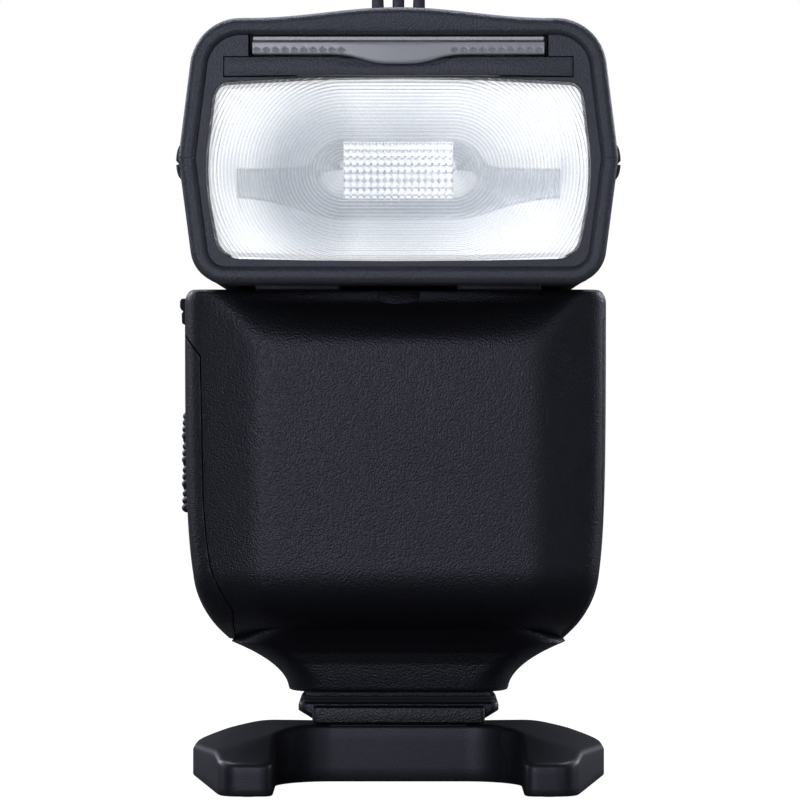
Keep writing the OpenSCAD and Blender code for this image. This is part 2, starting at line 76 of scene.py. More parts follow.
def softMax(parts, softness):
    # the largest of several signed distances, with the corners between them rounded
    stack = np.stack(np.broadcast_arrays(*parts))
    top = stack.max(axis=0)
    return top + softness * np.log(np.exp((stack - top) / softness).sum(axis=0))


def radialSolve(form, angle, reach=90.0):
    # distance from the axis at which form changes sign from inside to outside, by halving
    low = np.zeros_like(angle)
    high = np.full_like(angle, reach)
    for _ in range(30):
        middle = (low + high) / 2
        inside = form(middle * np.cos(angle), middle * np.sin(angle)) < 0
        low = np.where(inside, middle, low)
        high = np.where(inside, high, middle)
    return (low + high) / 2


def gridQuads(rows, cols, wrap):
    # corner numbers of the quads of a rows by cols grid, closed round the columns if wrap is true
    last = cols if wrap else cols - 1
    r, c = np.meshgrid(np.arange(rows - 1), np.arange(last), indexing="ij")
    n = (c + 1) % cols
    return np.stack([r * cols + c, r * cols + n, (r + 1) * cols + n, (r + 1) * cols + c], -1).reshape(-1, 4)


def skin(loops):
    # closed loops of points, one after another, joined by quads and closed by a fan at each end
    rows, cols = loops.shape[:2]
    points = np.vstack([loops.reshape(-1, 3), loops[0].mean(axis=0), loops[-1].mean(axis=0)])
    c = np.arange(cols)
    n = (c + 1) % cols
    start = np.stack([np.full(cols, rows * cols), n, c], -1)
    end = np.stack([np.full(cols, rows * cols + 1), (rows - 1) * cols + c, (rows - 1) * cols + n], -1)
    return points, gridQuads(rows, cols, True).tolist() + start.tolist() + end.tolist()


def meshObject(name, points, faces):
    # a mesh object from points in millimetres, with doubles merged and faces turned outwards
    data = bpy.data.meshes.new(name)
    data.from_pydata((np.asarray(points) * mm).tolist(), [], faces)
    solid = bmesh.new()
    solid.from_mesh(data)
    bmesh.ops.remove_doubles(solid, verts=solid.verts, dist=mergeDistance)
    bmesh.ops.dissolve_degenerate(solid, edges=solid.edges, dist=mergeDistance / 4)
    bmesh.ops.recalc_face_normals(solid, faces=solid.faces)
    solid.to_mesh(data)
    solid.free()
    piece = bpy.data.objects.new(name, data)
    scene.collection.objects.link(piece)
    return piece


def skinObject(name, loops):
    # closed loops joined and capped, as an object
    points, faces = skin(loops)
    return meshObject(name, points, faces)


def sleeve(name, loops):
    # quads over closed loops with no end caps: an open sheet, or a ring if the last loop repeats the first
    rows, cols = loops.shape[:2]
    return meshObject(name, loops.reshape(-1, 3), gridQuads(rows, cols, True).tolist())


def slab(name, front, back):
    # two matching grids of points, one behind the other, joined by quads round their rim
    rows, cols = front.shape[:2]
    size = rows * cols
    faces = gridQuads(rows, cols, False).tolist()
    faces += [[i + size for i in face[::-1]] for face in faces]
    rim = np.concatenate([np.arange(cols), np.arange(1, rows) * cols + cols - 1,
                          (rows - 1) * cols + np.arange(cols - 1)[::-1], np.arange(1, rows - 1)[::-1] * cols])
    ring = np.stack([rim, np.roll(rim, -1), np.roll(rim, -1) + size, rim + size], -1)
    return meshObject(name, np.vstack([front.reshape(-1, 3), back.reshape(-1, 3)]), faces + ring.tolist())


def prism(name, outline, start, end, axis):
    # an outline of two coordinates carried straight along the third, from start to end
    outline = np.asarray(outline, float)
    loops = []
    for place in (start, end):
        third = np.full(len(outline), float(place))
        order = {"x": (third, outline[:, 0], outline[:, 1]), "y": (outline[:, 0], third, outline[:, 1]),
                 "z": (outline[:, 0], outline[:, 1], third)}[axis]
        loops.append(np.stack(order, -1))
    count = len(outline)
    c = np.arange(count)
    sides = np.stack([c, (c + 1) % count, (c + 1) % count + count, c + count], -1).tolist()
    return meshObject(name, np.vstack(loops), sides + [list(range(count)), list(range(count, 2 * count))])


def boxSolid(name, low, high):
    # a box between its lowest and its highest corner
    outline = [(low[0], low[1]), (high[0], low[1]), (high[0], high[1]), (low[0], high[1])]
    return prism(name, outline, low[2], high[2], "z")


def turned(name, profile, centre, axis, cols=96):
    # a profile of (radius, height) points turned round an axis through centre
    profile = np.asarray(profile, float)
    angle = np.arange(cols) * tau / cols
    radius = np.repeat(profile[:, :1], cols, axis=1)
    height = np.repeat(profile[:, 1:], cols, axis=1)
    one, two = radius * np.cos(angle), radius * np.sin(angle)
    order = {"x": (height, one, two), "y": (one, height, two), "z": (one, two, height)}[axis]
    return skinObject(name, np.stack(order, -1) + np.asarray(centre, float))


def ballCluster(name, centres, radii, cols=20, rows=10):
    # several closed ellipsoids of the same radii in one mesh
    lat = np.linspace(0, math.pi, rows + 1)
    lon = np.arange(cols) * tau / cols
    ring = np.stack([np.sin(lat)[:, None] * np.cos(lon), np.sin(lat)[:, None] * np.sin(lon),
                     np.repeat(np.cos(lat)[:, None], cols, axis=1)], -1) * np.asarray(radii)
    points, faces = [], []
    for centre in centres:
        spot, spotFaces = skin(ring + np.asarray(centre))
        offset = sum(len(p) for p in points)
        points.append(spot)
        faces += [[i + offset for i in face] for face in spotFaces]
    return meshObject(name, np.vstack(points), faces)


def settle(piece):
    # applies the modifiers and leaves a plain mesh
    graph = bpy.context.evaluated_depsgraph_get()
    data = bpy.data.meshes.new_from_object(piece.evaluated_get(graph))
    piece.modifiers.clear()
    piece.data = data
    return piece


def carve(piece, cutters, operation="DIFFERENCE"):
    # cuts, joins or intersects the piece with each cutter in turn, and removes the cutters
    for cutter in cutters:
        before = piece.data.copy()
        for solver in ("MANIFOLD", "EXACT"):
            step = piece.modifiers.new("carve", "BOOLEAN")
            step.operation = operation
            step.solver = solver
            step.object = cutter
            settle(piece)
            if len(piece.data.polygons):
                break
            print("  solver", solver, "gave nothing for", piece.name, "with", cutter.name)
            piece.data = before.copy()
        bpy.data.objects.remove(cutter)
    return piece


def copyOf(piece, name):
    # a second object with a mesh of its own
    twin = piece.copy()
    twin.data = piece.data.copy()
    twin.name = name
    scene.collection.objects.link(twin)
    return twin


def edgeRound(piece, width, angle=35, segments=2):
    # a narrow rounding on every edge sharper than angle
    step = piece.modifiers.new("edges", "BEVEL")
    step.width = width * mm
    step.segments = segments
    step.limit_method = "ANGLE"
    step.angle_limit = math.radians(angle)
    step.use_clamp_overlap = True
    step.miter_outer = "MITER_ARC"
    return settle(piece)


def smooth(piece, angle=32):
    # smooth shading, broken at edges sharper than angle
    piece.data.polygons.foreach_set("use_smooth", np.ones(len(piece.data.polygons), bool))
    piece.data.set_sharp_from_angle(angle=math.radians(angle))
    return piece


def place(piece, material, *nodes, angle=32):
    # smooths a finished piece, gives it its material and its body, and hides the CAD nodes that it stands for
    smooth(piece, angle)
    piece.data.materials.clear()
    piece.data.materials.append(material)
    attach(piece, nodeBody[nodes[0]])
    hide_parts(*nodes)
    return piece


def refined(node, material, width, angle=35, segments=2):
    # a copy of a CAD node's mesh, merged and with its edges rounded
    source = frame["nodes"][node]
    data = source.data.copy()
    data.transform(source.matrix_world)
    solid = bmesh.new()
    solid.from_mesh(data)
    bmesh.ops.remove_doubles(solid, verts=solid.verts, dist=mergeDistance)
    bmesh.ops.dissolve_limit(solid, angle_limit=math.radians(1), verts=solid.verts, edges=solid.edges)
    solid.to_mesh(data)
    solid.free()
    piece = bpy.data.objects.new("fine_" + node, data)
    scene.collection.objects.link(piece)
    piece.data.materials.clear()
    if width:
        edgeRound(piece, width, angle, segments)
    return place(piece, material, node)


# each light: name, place, aim, width and height, power, in metres and watts
studio = {"camera": (0.00027, -0.700, 0.0694), "lens": 170.4, "floor": -0.0004, "grey": 0.02,
          "lights": (("front", (-0.16, -1.0, 0.10), (0, 0, 0.06), (0.28, 0.50), 3.0),
                     ("leftCrease", (-0.44, -0.88, 0.14), (0, 0, 0.07), (0.06, 0.6), 1.3),
                     ("rightCrease", (0.44, -0.88, 0.14), (0, 0, 0.07), (0.06, 0.6), 1.0),
                     ("leftRim", (-0.80, 0.02, 0.12), (0, 0, 0.08), (0.25, 0.7), 1.6),
                     ("rightRim", (0.80, 0.02, 0.12), (0, 0, 0.08), (0.25, 0.7), 1.6),
                     ("overhead", (0.0, 0.22, 0.80), (0, 0.0, 0.02), (0.9, 0.35), 8),
                     ("rearLeft", (-0.90, 0.72, 0.62), (0, 0, 0.08), (0.5, 0.5), 8),
                     ("rearRight", (0.90, 0.72, 0.50), (0, 0, 0.08), (0.5, 0.5), 6))}


def areaLight(name, spot, aim, size, power, tint):
    # a rectangular soft light at spot, facing aim
    data = bpy.data.lights.new(name, "AREA")
    data.shape, data.size, data.size_y = "RECTANGLE", size[0], size[1]
    data.energy, data.color = power, tint
    lamp = bpy.data.objects.new(name, data)
    scene.collection.objects.link(lamp)
    away = np.array(spot, float) - np.array(aim, float)
    lamp.location = spot
    lamp.rotation_mode = "QUATERNION"
    lamp.rotation_quaternion = Vector(away).to_track_quat("Z", "Y")


def makeStudio():
    # the camera, a dim sky that the camera sees as white, a paper floor and eight soft lights
    data = bpy.data.cameras.new("camera")
    data.lens, data.sensor_width = studio["lens"], 36
    data.clip_start, data.clip_end = 0.01, 50
    eye = bpy.data.objects.new("camera", data)
    eye.location, eye.rotation_euler = studio["camera"], (math.pi / 2, 0, 0)
    scene.collection.objects.link(eye)
    scene.camera = eye
    scene.view_settings.view_transform = "Standard"

    sky = bpy.data.worlds.new("studio")
    sky.use_nodes = True
    scene.world = sky
    tree = sky.node_tree
    tree.nodes.clear()
    shown, lit = tree.nodes.new("ShaderNodeBackground"), tree.nodes.new("ShaderNodeBackground")
    ray, mix = tree.nodes.new("ShaderNodeLightPath"), tree.nodes.new("ShaderNodeMixShader")
    out = tree.nodes.new("ShaderNodeOutputWorld")
    shown.inputs["Color"].default_value = (1, 1, 1, 1)
    shown.inputs["Strength"].default_value = 1.0
    lit.inputs["Color"].default_value = (0.93, 0.95, 1, 1)
    lit.inputs["Strength"].default_value = studio["grey"]
    tree.links.new(ray.outputs["Is Camera Ray"], mix.inputs["Fac"])
    tree.links.new(lit.outputs[0], mix.inputs[1])
    tree.links.new(shown.outputs[0], mix.inputs[2])
    tree.links.new(mix.outputs[0], out.inputs["Surface"])

    # a round sheet of white paper, seen bright by the camera and dim by the object above it
    turn = np.arange(96) * tau / 96
    rings = np.array([0, 60, 150, 300, 600, 1000])
    flat = np.stack([rings[:, None] * np.cos(turn), rings[:, None] * np.sin(turn),
                     np.full((len(rings), 96), studio["floor"] / mm)], -1)
    floor = sleeve("floor", flat)
    if floor.data.polygons[0].normal.z < 0:
        floor.data.flip_normals()
    paper = bpy.data.materials.new("palePaper")
    paper.use_nodes = True
    tree = paper.node_tree
    shader = tree.nodes["Principled BSDF"]
    shader.inputs["Base Color"].default_value = (0.06, 0.06, 0.06, 1)
    shader.inputs["Roughness"].default_value = 0.8
    shader.inputs["Specular IOR Level"].default_value = 0.1
    shader.inputs["Emission Color"].default_value = (1, 1, 1, 1)
    ray = tree.nodes.new("ShaderNodeLightPath")
    tree.links.new(ray.outputs["Is Camera Ray"], shader.inputs["Emission Strength"])
    floor.data.materials.append(paper)

    cool = (0.88, 0.90, 1.0)
    for row in studio["lights"]:
        areaLight(*row, cool)


makeStudio()
print("studio: camera, floor and lights")


def nodeGroup(name, takes, gives):
    # a shader node group with its named inputs and outputs, and its two end nodes
    tree = bpy.data.node_groups.new(name, "ShaderNodeTree")
    for label, kind, value in takes:
        made = tree.interface.new_socket(name=label, in_out="INPUT", socket_type="NodeSocket" + kind)
        if value is not None:
            made.default_value = value
    for label, kind in gives:
        tree.interface.new_socket(name=label, in_out="OUTPUT", socket_type="NodeSocket" + kind)
    return tree, tree.nodes.new("NodeGroupInput"), tree.nodes.new("NodeGroupOutput")


def fill(tree, target, value):
    # sets an input to a value, or links it to a socket
    if isinstance(value, bpy.types.NodeSocket):
        tree.links.new(value, target)
    else:
        target.default_value = value


def dress(tree, shader, **inputs):
    # fills the named inputs of a shader
    for label, value in inputs.items():
        fill(tree, shader.inputs[label.replace("_", " ")], value)


def add(tree, kind, settings=None, **inputs):
    # a node with its settings, and its inputs set to values or linked to sockets
    made = tree.nodes.new("ShaderNode" + kind)
    for label, value in (settings or {}).items():
        setattr(made, label, value)
    for label, value in inputs.items():
        numbered = label[0] == "i" and label[1:].isdigit()
        fill(tree, made.inputs[int(label[1:]) if numbered else label.replace("_", " ")], value)
    return made


def sums(tree, operation, one, two=0.0, clamp=False):
    # the result of one arithmetic node
    return add(tree, "Math", {"operation": operation, "use_clamp": clamp}, i0=one, i1=two).outputs[0]


def makeGrain():
    # rounded cells like the texture of a mould, over a slower swell, as a height from 0 to 1
    tree, start, end = nodeGroup("mouldGrain", [("Vector", "Vector", None), ("Cells", "Float", 2000.0),
                                                ("Swell", "Float", 0.3)], [("Height", "Float")])
    cells = add(tree, "TexVoronoi", {"feature": "SMOOTH_F1"}, Vector=start.outputs["Vector"],
                Scale=start.outputs["Cells"], Smoothness=0.6)
    wide = sums(tree, "MULTIPLY", start.outputs["Cells"], 0.12)
    slow = add(tree, "TexNoise", Vector=start.outputs["Vector"], Scale=wide, Detail=3.0)
    part = sums(tree, "MULTIPLY", slow.outputs[0], start.outputs["Swell"])
    dome = sums(tree, "SUBTRACT", 1.0, cells.outputs["Distance"])
    tree.links.new(sums(tree, "ADD", dome, part), end.inputs["Height"])
    return tree


def makeHandling():
    # faint smudges and dust: a mask from slow noise broken up by fine noise
    tree, start, end = nodeGroup("handling", [("Vector", "Vector", None), ("Size", "Float", 60.0),
                                              ("Amount", "Float", 0.5)], [("Mask", "Float")])
    slow = add(tree, "TexNoise", Vector=start.outputs["Vector"], Scale=start.outputs["Size"], Detail=5.0,
               Roughness=0.6)
    fine = sums(tree, "MULTIPLY", start.outputs["Size"], 18.0)
    specks = add(tree, "TexNoise", Vector=start.outputs["Vector"], Scale=fine, Detail=2.0)
    soft = add(tree, "MapRange", Value=slow.outputs[0], From_Min=0.4, From_Max=0.7)
    joint = sums(tree, "MULTIPLY", soft.outputs[0], specks.outputs[0])
    tree.links.new(sums(tree, "MULTIPLY", joint, start.outputs["Amount"], True), end.inputs["Mask"])
    return tree


def makePaintedEdgeHighlight():
    # a mask of painted highlight on the outward edges, standing for light caught there, from the surface's own
    # curvature, broken up by noise
    tree, start, end = nodeGroup("paintedEdgeHighlight", [("Vector", "Vector", None), ("Break", "Float", 900.0),
                                              ("Amount", "Float", 0.5)], [("Mask", "Float")])
    shape = add(tree, "NewGeometry")
    raised = add(tree, "MapRange", Value=shape.outputs["Pointiness"], From_Min=0.52, From_Max=0.62)
    broken = add(tree, "TexNoise", Vector=start.outputs["Vector"], Scale=start.outputs["Break"], Detail=4.0)
    part = sums(tree, "MULTIPLY", raised.outputs[0], broken.outputs[0])
    tree.links.new(sums(tree, "MULTIPLY", part, start.outputs["Amount"], True), end.inputs["Mask"])
    return tree


ringShadeField = {"straight": 9.15, "centre": 108.0, "first": 0.35, "half": 4.7, "edge": 0.05, "strength": 0.85}


def makeRingShadeLines():
    # painted shade: thin dark lines round a stadium, standing for the shading at the lens's ring steps; the distance
    # from a straight middle stretch, in steps of the pitch
    tree, start, end = nodeGroup("ringShadeLines", [("Vector", "Vector", None), ("Pitch", "Float", 0.0006)],
                                 [("Mask", "Float")])
    parts = add(tree, "SeparateXYZ", Vector=start.outputs["Vector"])
    wide = sums(tree, "SUBTRACT", sums(tree, "ABSOLUTE", parts.outputs[0]), ringShadeField["straight"] * mm)
    x = sums(tree, "MAXIMUM", wide, 0.0)
    z = sums(tree, "SUBTRACT", parts.outputs[2], ringShadeField["centre"] * mm)
    away = sums(tree, "SQRT", sums(tree, "ADD", sums(tree, "MULTIPLY", x, x), sums(tree, "MULTIPLY", z, z)))
    away = sums(tree, "SUBTRACT", away, ringShadeField["first"] * mm)
    step = sums(tree, "FRACT", sums(tree, "DIVIDE", away, start.outputs["Pitch"]))
    line = add(tree, "MapRange", Value=step, From_Min=0.55, From_Max=0.95).outputs[0]
    beyond = sums(tree, "MAXIMUM", x, sums(tree, "SUBTRACT", sums(tree, "ABSOLUTE", z), ringShadeField["half"] * mm))
    outside = add(tree, "MapRange", Value=beyond, From_Min=0.0, From_Max=ringShadeField["edge"] * mm).outputs[0]
    mask = sums(tree, "MULTIPLY", sums(tree, "MULTIPLY", line, outside), ringShadeField["strength"])
    tree.links.new(mask, end.inputs["Mask"])
    return tree


grain, handling, paintedEdgeHighlight, ringShadeLines = makeGrain(), makeHandling(), makePaintedEdgeHighlight(), makeRingShadeLines()


def shaded(name):
    # a material with its tree, its Principled shader and the object's own coordinates
    made = bpy.data.materials.new(name)
    made.use_nodes = True
    tree = made.node_tree
    spots = add(tree, "TexCoord").outputs["Object"]
    return made, tree, tree.nodes["Principled BSDF"], spots


def grouped(tree, group, **inputs):
    # the output of a node group placed with its own values
    made = tree.nodes.new("ShaderNodeGroup")
    made.node_tree = group
    for label, value in inputs.items():
        fill(tree, made.inputs[label], value)
    return made.outputs[0]


def blended(tree, share, one, two):
    # a colour between one and two
    made = tree.nodes.new("ShaderNodeMix")
    made.data_type = "RGBA"
    for target, value in ((made.inputs[0], share), (made.inputs[6], one), (made.inputs[7], two)):
        fill(tree, target, (*value, 1.0) if isinstance(value, tuple) else value)
    return made.outputs[2]


def times(colour, factor):
    # a colour made lighter or darker, at most 1
    return tuple(min(1.0, part * factor) for part in colour)


def moulded(name, colour, cells, depth, roughness, edgeHighlightAmount=0.25, dusty=0.25, swell=0.3, specular=0.5):
    # moulded plastic or rubber: grain in the height, painted shade in the grain's hollows, painted highlights on the
    # outward edges and faint smudges
    made, tree, shader, spots = shaded(name)
    height = grouped(tree, grain, Vector=spots, Cells=cells, Swell=swell)
    smudge = grouped(tree, handling, Vector=spots, Size=70.0, Amount=dusty)
    # painted highlight: a mask of the outward edges, which are made lighter below as if they caught the light
    edge = grouped(tree, paintedEdgeHighlight, Vector=spots, Break=900.0, Amount=edgeHighlightAmount)
    # painted shade: the grain's hollows are darker and its raised cells lighter
    hollow = add(tree, "MapRange", Value=height, From_Min=0.35, From_Max=1.05).outputs[0]
    tone = blended(tree, hollow, times(colour, 0.72), times(colour, 1.14))
    tone = blended(tree, smudge, tone, times(colour, 1.7))
    tone = blended(tree, edge, tone, times(colour, 2.2))
    rough = add(tree, "MapRange", Value=smudge, To_Min=roughness, To_Max=min(1.0, roughness + 0.25))
    bump = add(tree, "Bump", Height=height, Strength=0.9, Distance=depth * mm)
    dress(tree, shader, Base_Color=tone, Roughness=rough.outputs[0], Specular_IOR_Level=specular,
          Specular_Tint=(0.83, 0.85, 1.0, 1.0), Normal=bump.outputs[0])
    return made


def turnedMetal(name, colour, roughness, axis, lines=3000.0):
    # bright metal with fine tool lines along one axis and a little tarnish
    made, tree, shader, spots = shaded(name)
    stretch = {"x": (lines, 60, 60), "y": (60, lines, 60), "z": (60, 60, lines)}[axis]
    mapped = add(tree, "Mapping", Vector=spots, Scale=stretch).outputs[0]
    marks = add(tree, "TexNoise", Vector=mapped, Scale=1.0, Detail=2.0).outputs[0]
    smudge = grouped(tree, handling, Vector=spots, Size=120.0, Amount=0.6)
    tone = blended(tree, marks, times(colour, 0.82), colour)
    tone = blended(tree, smudge, tone, times(colour, 0.55))
    rough = add(tree, "MapRange", Value=marks, To_Min=roughness * 0.8, To_Max=roughness * 1.3)
    bump = add(tree, "Bump", Height=marks, Strength=0.3, Distance=0.00002)
    dress(tree, shader, Base_Color=tone, Roughness=rough.outputs[0], Metallic=1.0, Normal=bump.outputs[0])
    return made


def clearPlastic(name, colour, roughness, through, scratch=0.15, pitch=None):
    # clear moulded plastic with faint flow marks and a little haze, and painted shade lines at the lens's rings if
    # they have a pitch
    made, tree, shader, spots = shaded(name)
    flow = add(tree, "TexNoise", Vector=spots, Scale=90.0, Detail=3.0).outputs[0]
    tone = blended(tree, flow, times(colour, 0.93), colour)
    if pitch:
        # painted shade: grey lines where the lens's ring steps would be in shade
        tone = blended(tree, grouped(tree, ringShadeLines, Vector=spots, Pitch=pitch * mm), tone, (0.40, 0.43, 0.46))
    rough = add(tree, "MapRange", Value=flow, To_Min=roughness * 0.8, To_Max=roughness * 1.2)
    bump = add(tree, "Bump", Height=flow, Strength=scratch, Distance=0.00003)
    dress(tree, shader, Base_Color=tone, Roughness=rough.outputs[0], Transmission_Weight=through, IOR=1.49,
          Normal=bump.outputs[0])
    return made


def softSpot(tree, spots, centre, size):
    # a mask that is 1 at centre and fades to 0 at size away from it, both in millimetres
    scale = [1 / (part * mm) for part in size]
    shift = [-place / part for place, part in zip(centre, size)]
    mapped = add(tree, "Mapping", Vector=spots, Scale=scale, Location=shift).outputs[0]
    return add(tree, "TexGradient", {"gradient_type": "SPHERICAL"}, Vector=mapped).outputs[1]


# places and sizes of the painted shade on the reflector, seen through the lens: round the tube in the middle, at its
# two ends and left of the middle
reflectorShadeSpots = (((0, -40, 108), (21, 60, 12)), ((-25, -50, 108), (5, 60, 5)), ((25, -50, 108), (5, 60, 5)),
            ((-14, -40, 109), (8, 60, 16)))


def paintedGlowReflector(name):
    # plated mirror with a painted glow that stands for the light gathered in it, and painted shade at the tube and
    # the ends
    made, tree, shader, spots = shaded(name)
    waves = add(tree, "TexNoise", Vector=spots, Scale=140.0, Detail=2.0).outputs[0]
    tone = blended(tree, waves, (0.80, 0.82, 0.86), (0.97, 0.98, 1.0))
    paintedGlow = blended(tree, waves, (0.88, 0.90, 0.92), (1.0, 1.0, 1.0))
    dim = [softSpot(tree, spots, centre, size) for centre, size in reflectorShadeSpots]
    share = sums(tree, "ADD", sums(tree, "ADD", dim[0], dim[1]), sums(tree, "ADD", dim[2], dim[3]), True)
    # painted glow: emission makes the reflector bright, dimmed to painted shade where the spots fall
    dress(tree, shader, Base_Color=tone, Emission_Color=blended(tree, share, paintedGlow, (0.20, 0.225, 0.25)),
          Emission_Strength=0.95, Metallic=0.6, Roughness=0.35)
    return made


def banded(name, colours, axis, pitch, share, roughness):
    # two colours in bands across one axis, with uneven edges
    made, tree, shader, spots = shaded(name)
    parts = add(tree, "SeparateXYZ", Vector=spots)
    noise = add(tree, "TexNoise", Vector=spots, Scale=500.0, Detail=2.0).outputs[0]
    along = sums(tree, "ADD", parts.outputs[axis], sums(tree, "MULTIPLY", noise, pitch * 0.05 * mm))
    step = sums(tree, "FRACT", sums(tree, "DIVIDE", along, pitch * mm))
    band = add(tree, "MapRange", Value=step, From_Min=share - 0.01, From_Max=share + 0.01).outputs[0]
    tone = blended(tree, band, colours[0], colours[1])
    smudge = grouped(tree, handling, Vector=spots, Size=150.0, Amount=0.3)
    tone = blended(tree, smudge, tone, times(colours[0], 0.6))
    rough = add(tree, "MapRange", Value=noise, To_Min=roughness * 0.8, To_Max=roughness * 1.2)
    dress(tree, shader, Base_Color=tone, Roughness=rough.outputs[0])
    return made


def circuitBoard(name):
    # green lacquer over straight copper tracks, with the tracks slightly raised
    made, tree, shader, spots = shaded(name)
    brick = add(tree, "TexBrick", {"offset": 0.5, "squash": 1.0}, Vector=spots, Color1=(0.012, 0.085, 0.04, 1),
                Color2=(0.010, 0.065, 0.033, 1), Mortar=(0.03, 0.17, 0.07, 1), Scale=260.0, Mortar_Size=0.04)
    noise = add(tree, "TexNoise", Vector=spots, Scale=400.0, Detail=2.0).outputs[0]
    rough = add(tree, "MapRange", Value=noise, To_Min=0.2, To_Max=0.4)
    bump = add(tree, "Bump", Height=brick.outputs[1], Strength=0.5, Distance=0.00004)
    dress(tree, shader, Base_Color=brick.outputs[0], Roughness=rough.outputs[0], Normal=bump.outputs[0])
    return made


bodyTone, headTone, darkTone = (0.0056, 0.0058, 0.0074), (0.062, 0.065, 0.077), (0.006, 0.006, 0.008)
finishes = {
    "stand_plastic": moulded("standSatin", (0.0105, 0.0110, 0.0140), 4200.0, 0.02, 0.42, 0.35),
    "brass": turnedMetal("turnedBrass", (0.72, 0.50, 0.20), 0.25, "z"),
    "rubber": moulded("footRubber", (0.010, 0.010, 0.012), 1800.0, 0.05, 0.75, 0.1, 0.5),
    "grip_rubber": moulded("gripRubber", (0.020, 0.020, 0.026), 1150.0, 0.16, 0.60, 0.3, 0.3, 0.2),
    "foot_metal": turnedMetal("footMetal", (0.50, 0.51, 0.53), 0.3, "y"),
    "steel": turnedMetal("brightSteel", (0.60, 0.61, 0.63), 0.28, "x"),
    "contact_gold": turnedMetal("contactGold", (0.90, 0.68, 0.30), 0.22, "z"),
    "body_plastic": moulded("bodyPlastic", bodyTone, 3300.0, 0.08, 0.41, 0.3, 0.2),
    "dark_plastic": moulded("darkPlastic", darkTone, 2200.0, 0.03, 0.42, 0.3),
    "button_plastic": moulded("buttonPlastic", (0.022, 0.022, 0.027), 2400.0, 0.02, 0.38, 0.3),
    "head_plastic": moulded("headPlastic", headTone, 3400.0, 0.075, 0.44, 0.3, 0.2),
    "cell_jacket": banded("cellJacket", ((0.45, 0.46, 0.48), (0.03, 0.20, 0.16)), "X", 60.0, 0.86, 0.3),
    "capacitor_sleeve": banded("capacitorSleeve", ((0.012, 0.014, 0.03), (0.35, 0.36, 0.38)), "X", 30.0, 0.93, 0.35),
    "board_green": circuitBoard("circuitBoard"),
    "window_clear": clearPlastic("windowClear", (0.80, 0.83, 0.86), 0.05, 1.0),
    "display_face": banded("displayFace", ((0.15, 0.17, 0.15), (0.16, 0.185, 0.16)), "Z", 0.25, 0.5, 0.3),
    "lens_clear": clearPlastic("lensClear", (0.99, 0.98, 0.965), 0.06, 0.78, 0.02, 0.60),
    "panel_clear": clearPlastic("panelClear", (0.66, 0.67, 0.71), 0.2, 0.3),
    "card_white": moulded("cardWhite", (0.93, 0.93, 0.92), 5000.0, 0.006, 0.5, 0.0, 0.1, 0.05),
    "reflector_metal": paintedGlowReflector("reflectorPaintedGlow"),
    "tube_glass": clearPlastic("tubeGlass", (0.86, 0.90, 0.94), 0.05, 0.7),
}
print("finishes:", len(finishes))


# distances of the body's faces from the swivel axis; a bevel is the plane a * x + b * y = c
body = {"front": 33.0, "right": 37.2, "left": 38.05, "flareRight": 1.27, "flareLeft": 1.53, "rear": 31.0,
        "top": 89.0, "bevelRight": (0.3776, -0.9260, 39.886), "bevelLeft": (-0.3485, -0.9373, 39.54),
        "slopeFrom": 80.0, "shoulder": 86.9, "draft": 0.055, "wall": 2.2, "seam": 28.6, "seamLow": 25.8,
        "columns": 480}


def sideDrop(height):
    # how far the sides have drawn in at a height below 38: a little straight away and then by the square
    below = np.maximum(38 - height, 0)
    return 0.1 * below + 0.037 * below ** 2


def drop(height, radius, centre, end):
    # how far a wall has rolled inwards at a height below centre, on the radius and then straight below end
    below = np.clip(centre - height, 0, centre - end)
    return radius - np.sqrt(np.maximum(radius ** 2 - below ** 2, 0)) + np.maximum(end - height, 0) * 3


def bodyForm(x, y, z):
    # below 0 inside the body: front plateau, slanted top, two bevels, sides and rear, softly joined
    outside = np.minimum(np.abs(x) / 32, 1) ** 2
    rolled = 0.026 * np.maximum(z - 77.2, 0) ** 2
    lip = -softMax([-z, -body["shoulder"]], 0.15)
    slope = -y - body["front"] + (1 - outside) * 0.5 * (lip - body["slopeFrom"]) + outside * rolled
    front = softMax([-y - body["front"], slope], 0.35)
    bevels = [a * x + b * y - c for a, b, c in (body["bevelRight"], body["bevelLeft"])]
    high = 1 - np.exp(-np.maximum(z - 38, 0) / 9.5)
    ahead = body["draft"] * np.maximum(2 - y, 0)
    shoulder = 0.22 * np.maximum(z - body["shoulder"], 0) ** 2
    right = x - body["right"] - body["flareRight"] * high + ahead + sideDrop(z) + shoulder
    left = -x - body["left"] - body["flareLeft"] * high + ahead + sideDrop(z) + shoulder
    rear = y - body["rear"] + np.maximum(z - 82, 0) * 0.3 + drop(z, 7, 35, body["seam"])
    face = softMax([front, *bevels], 0.32) + drop(z, 12, 40, body["seam"])
    return softMax([face, softMax([right, left, rear], 2.3)], 1.1)


def seamHeight(x):
    # the seam over the skirt is level in the middle and drops at the sides
    fall = (body["seam"] - body["seamLow"]) / 3.8
    return np.clip(body["seam"] - (np.abs(x) - 25.5) * fall, body["seamLow"], body["seam"])


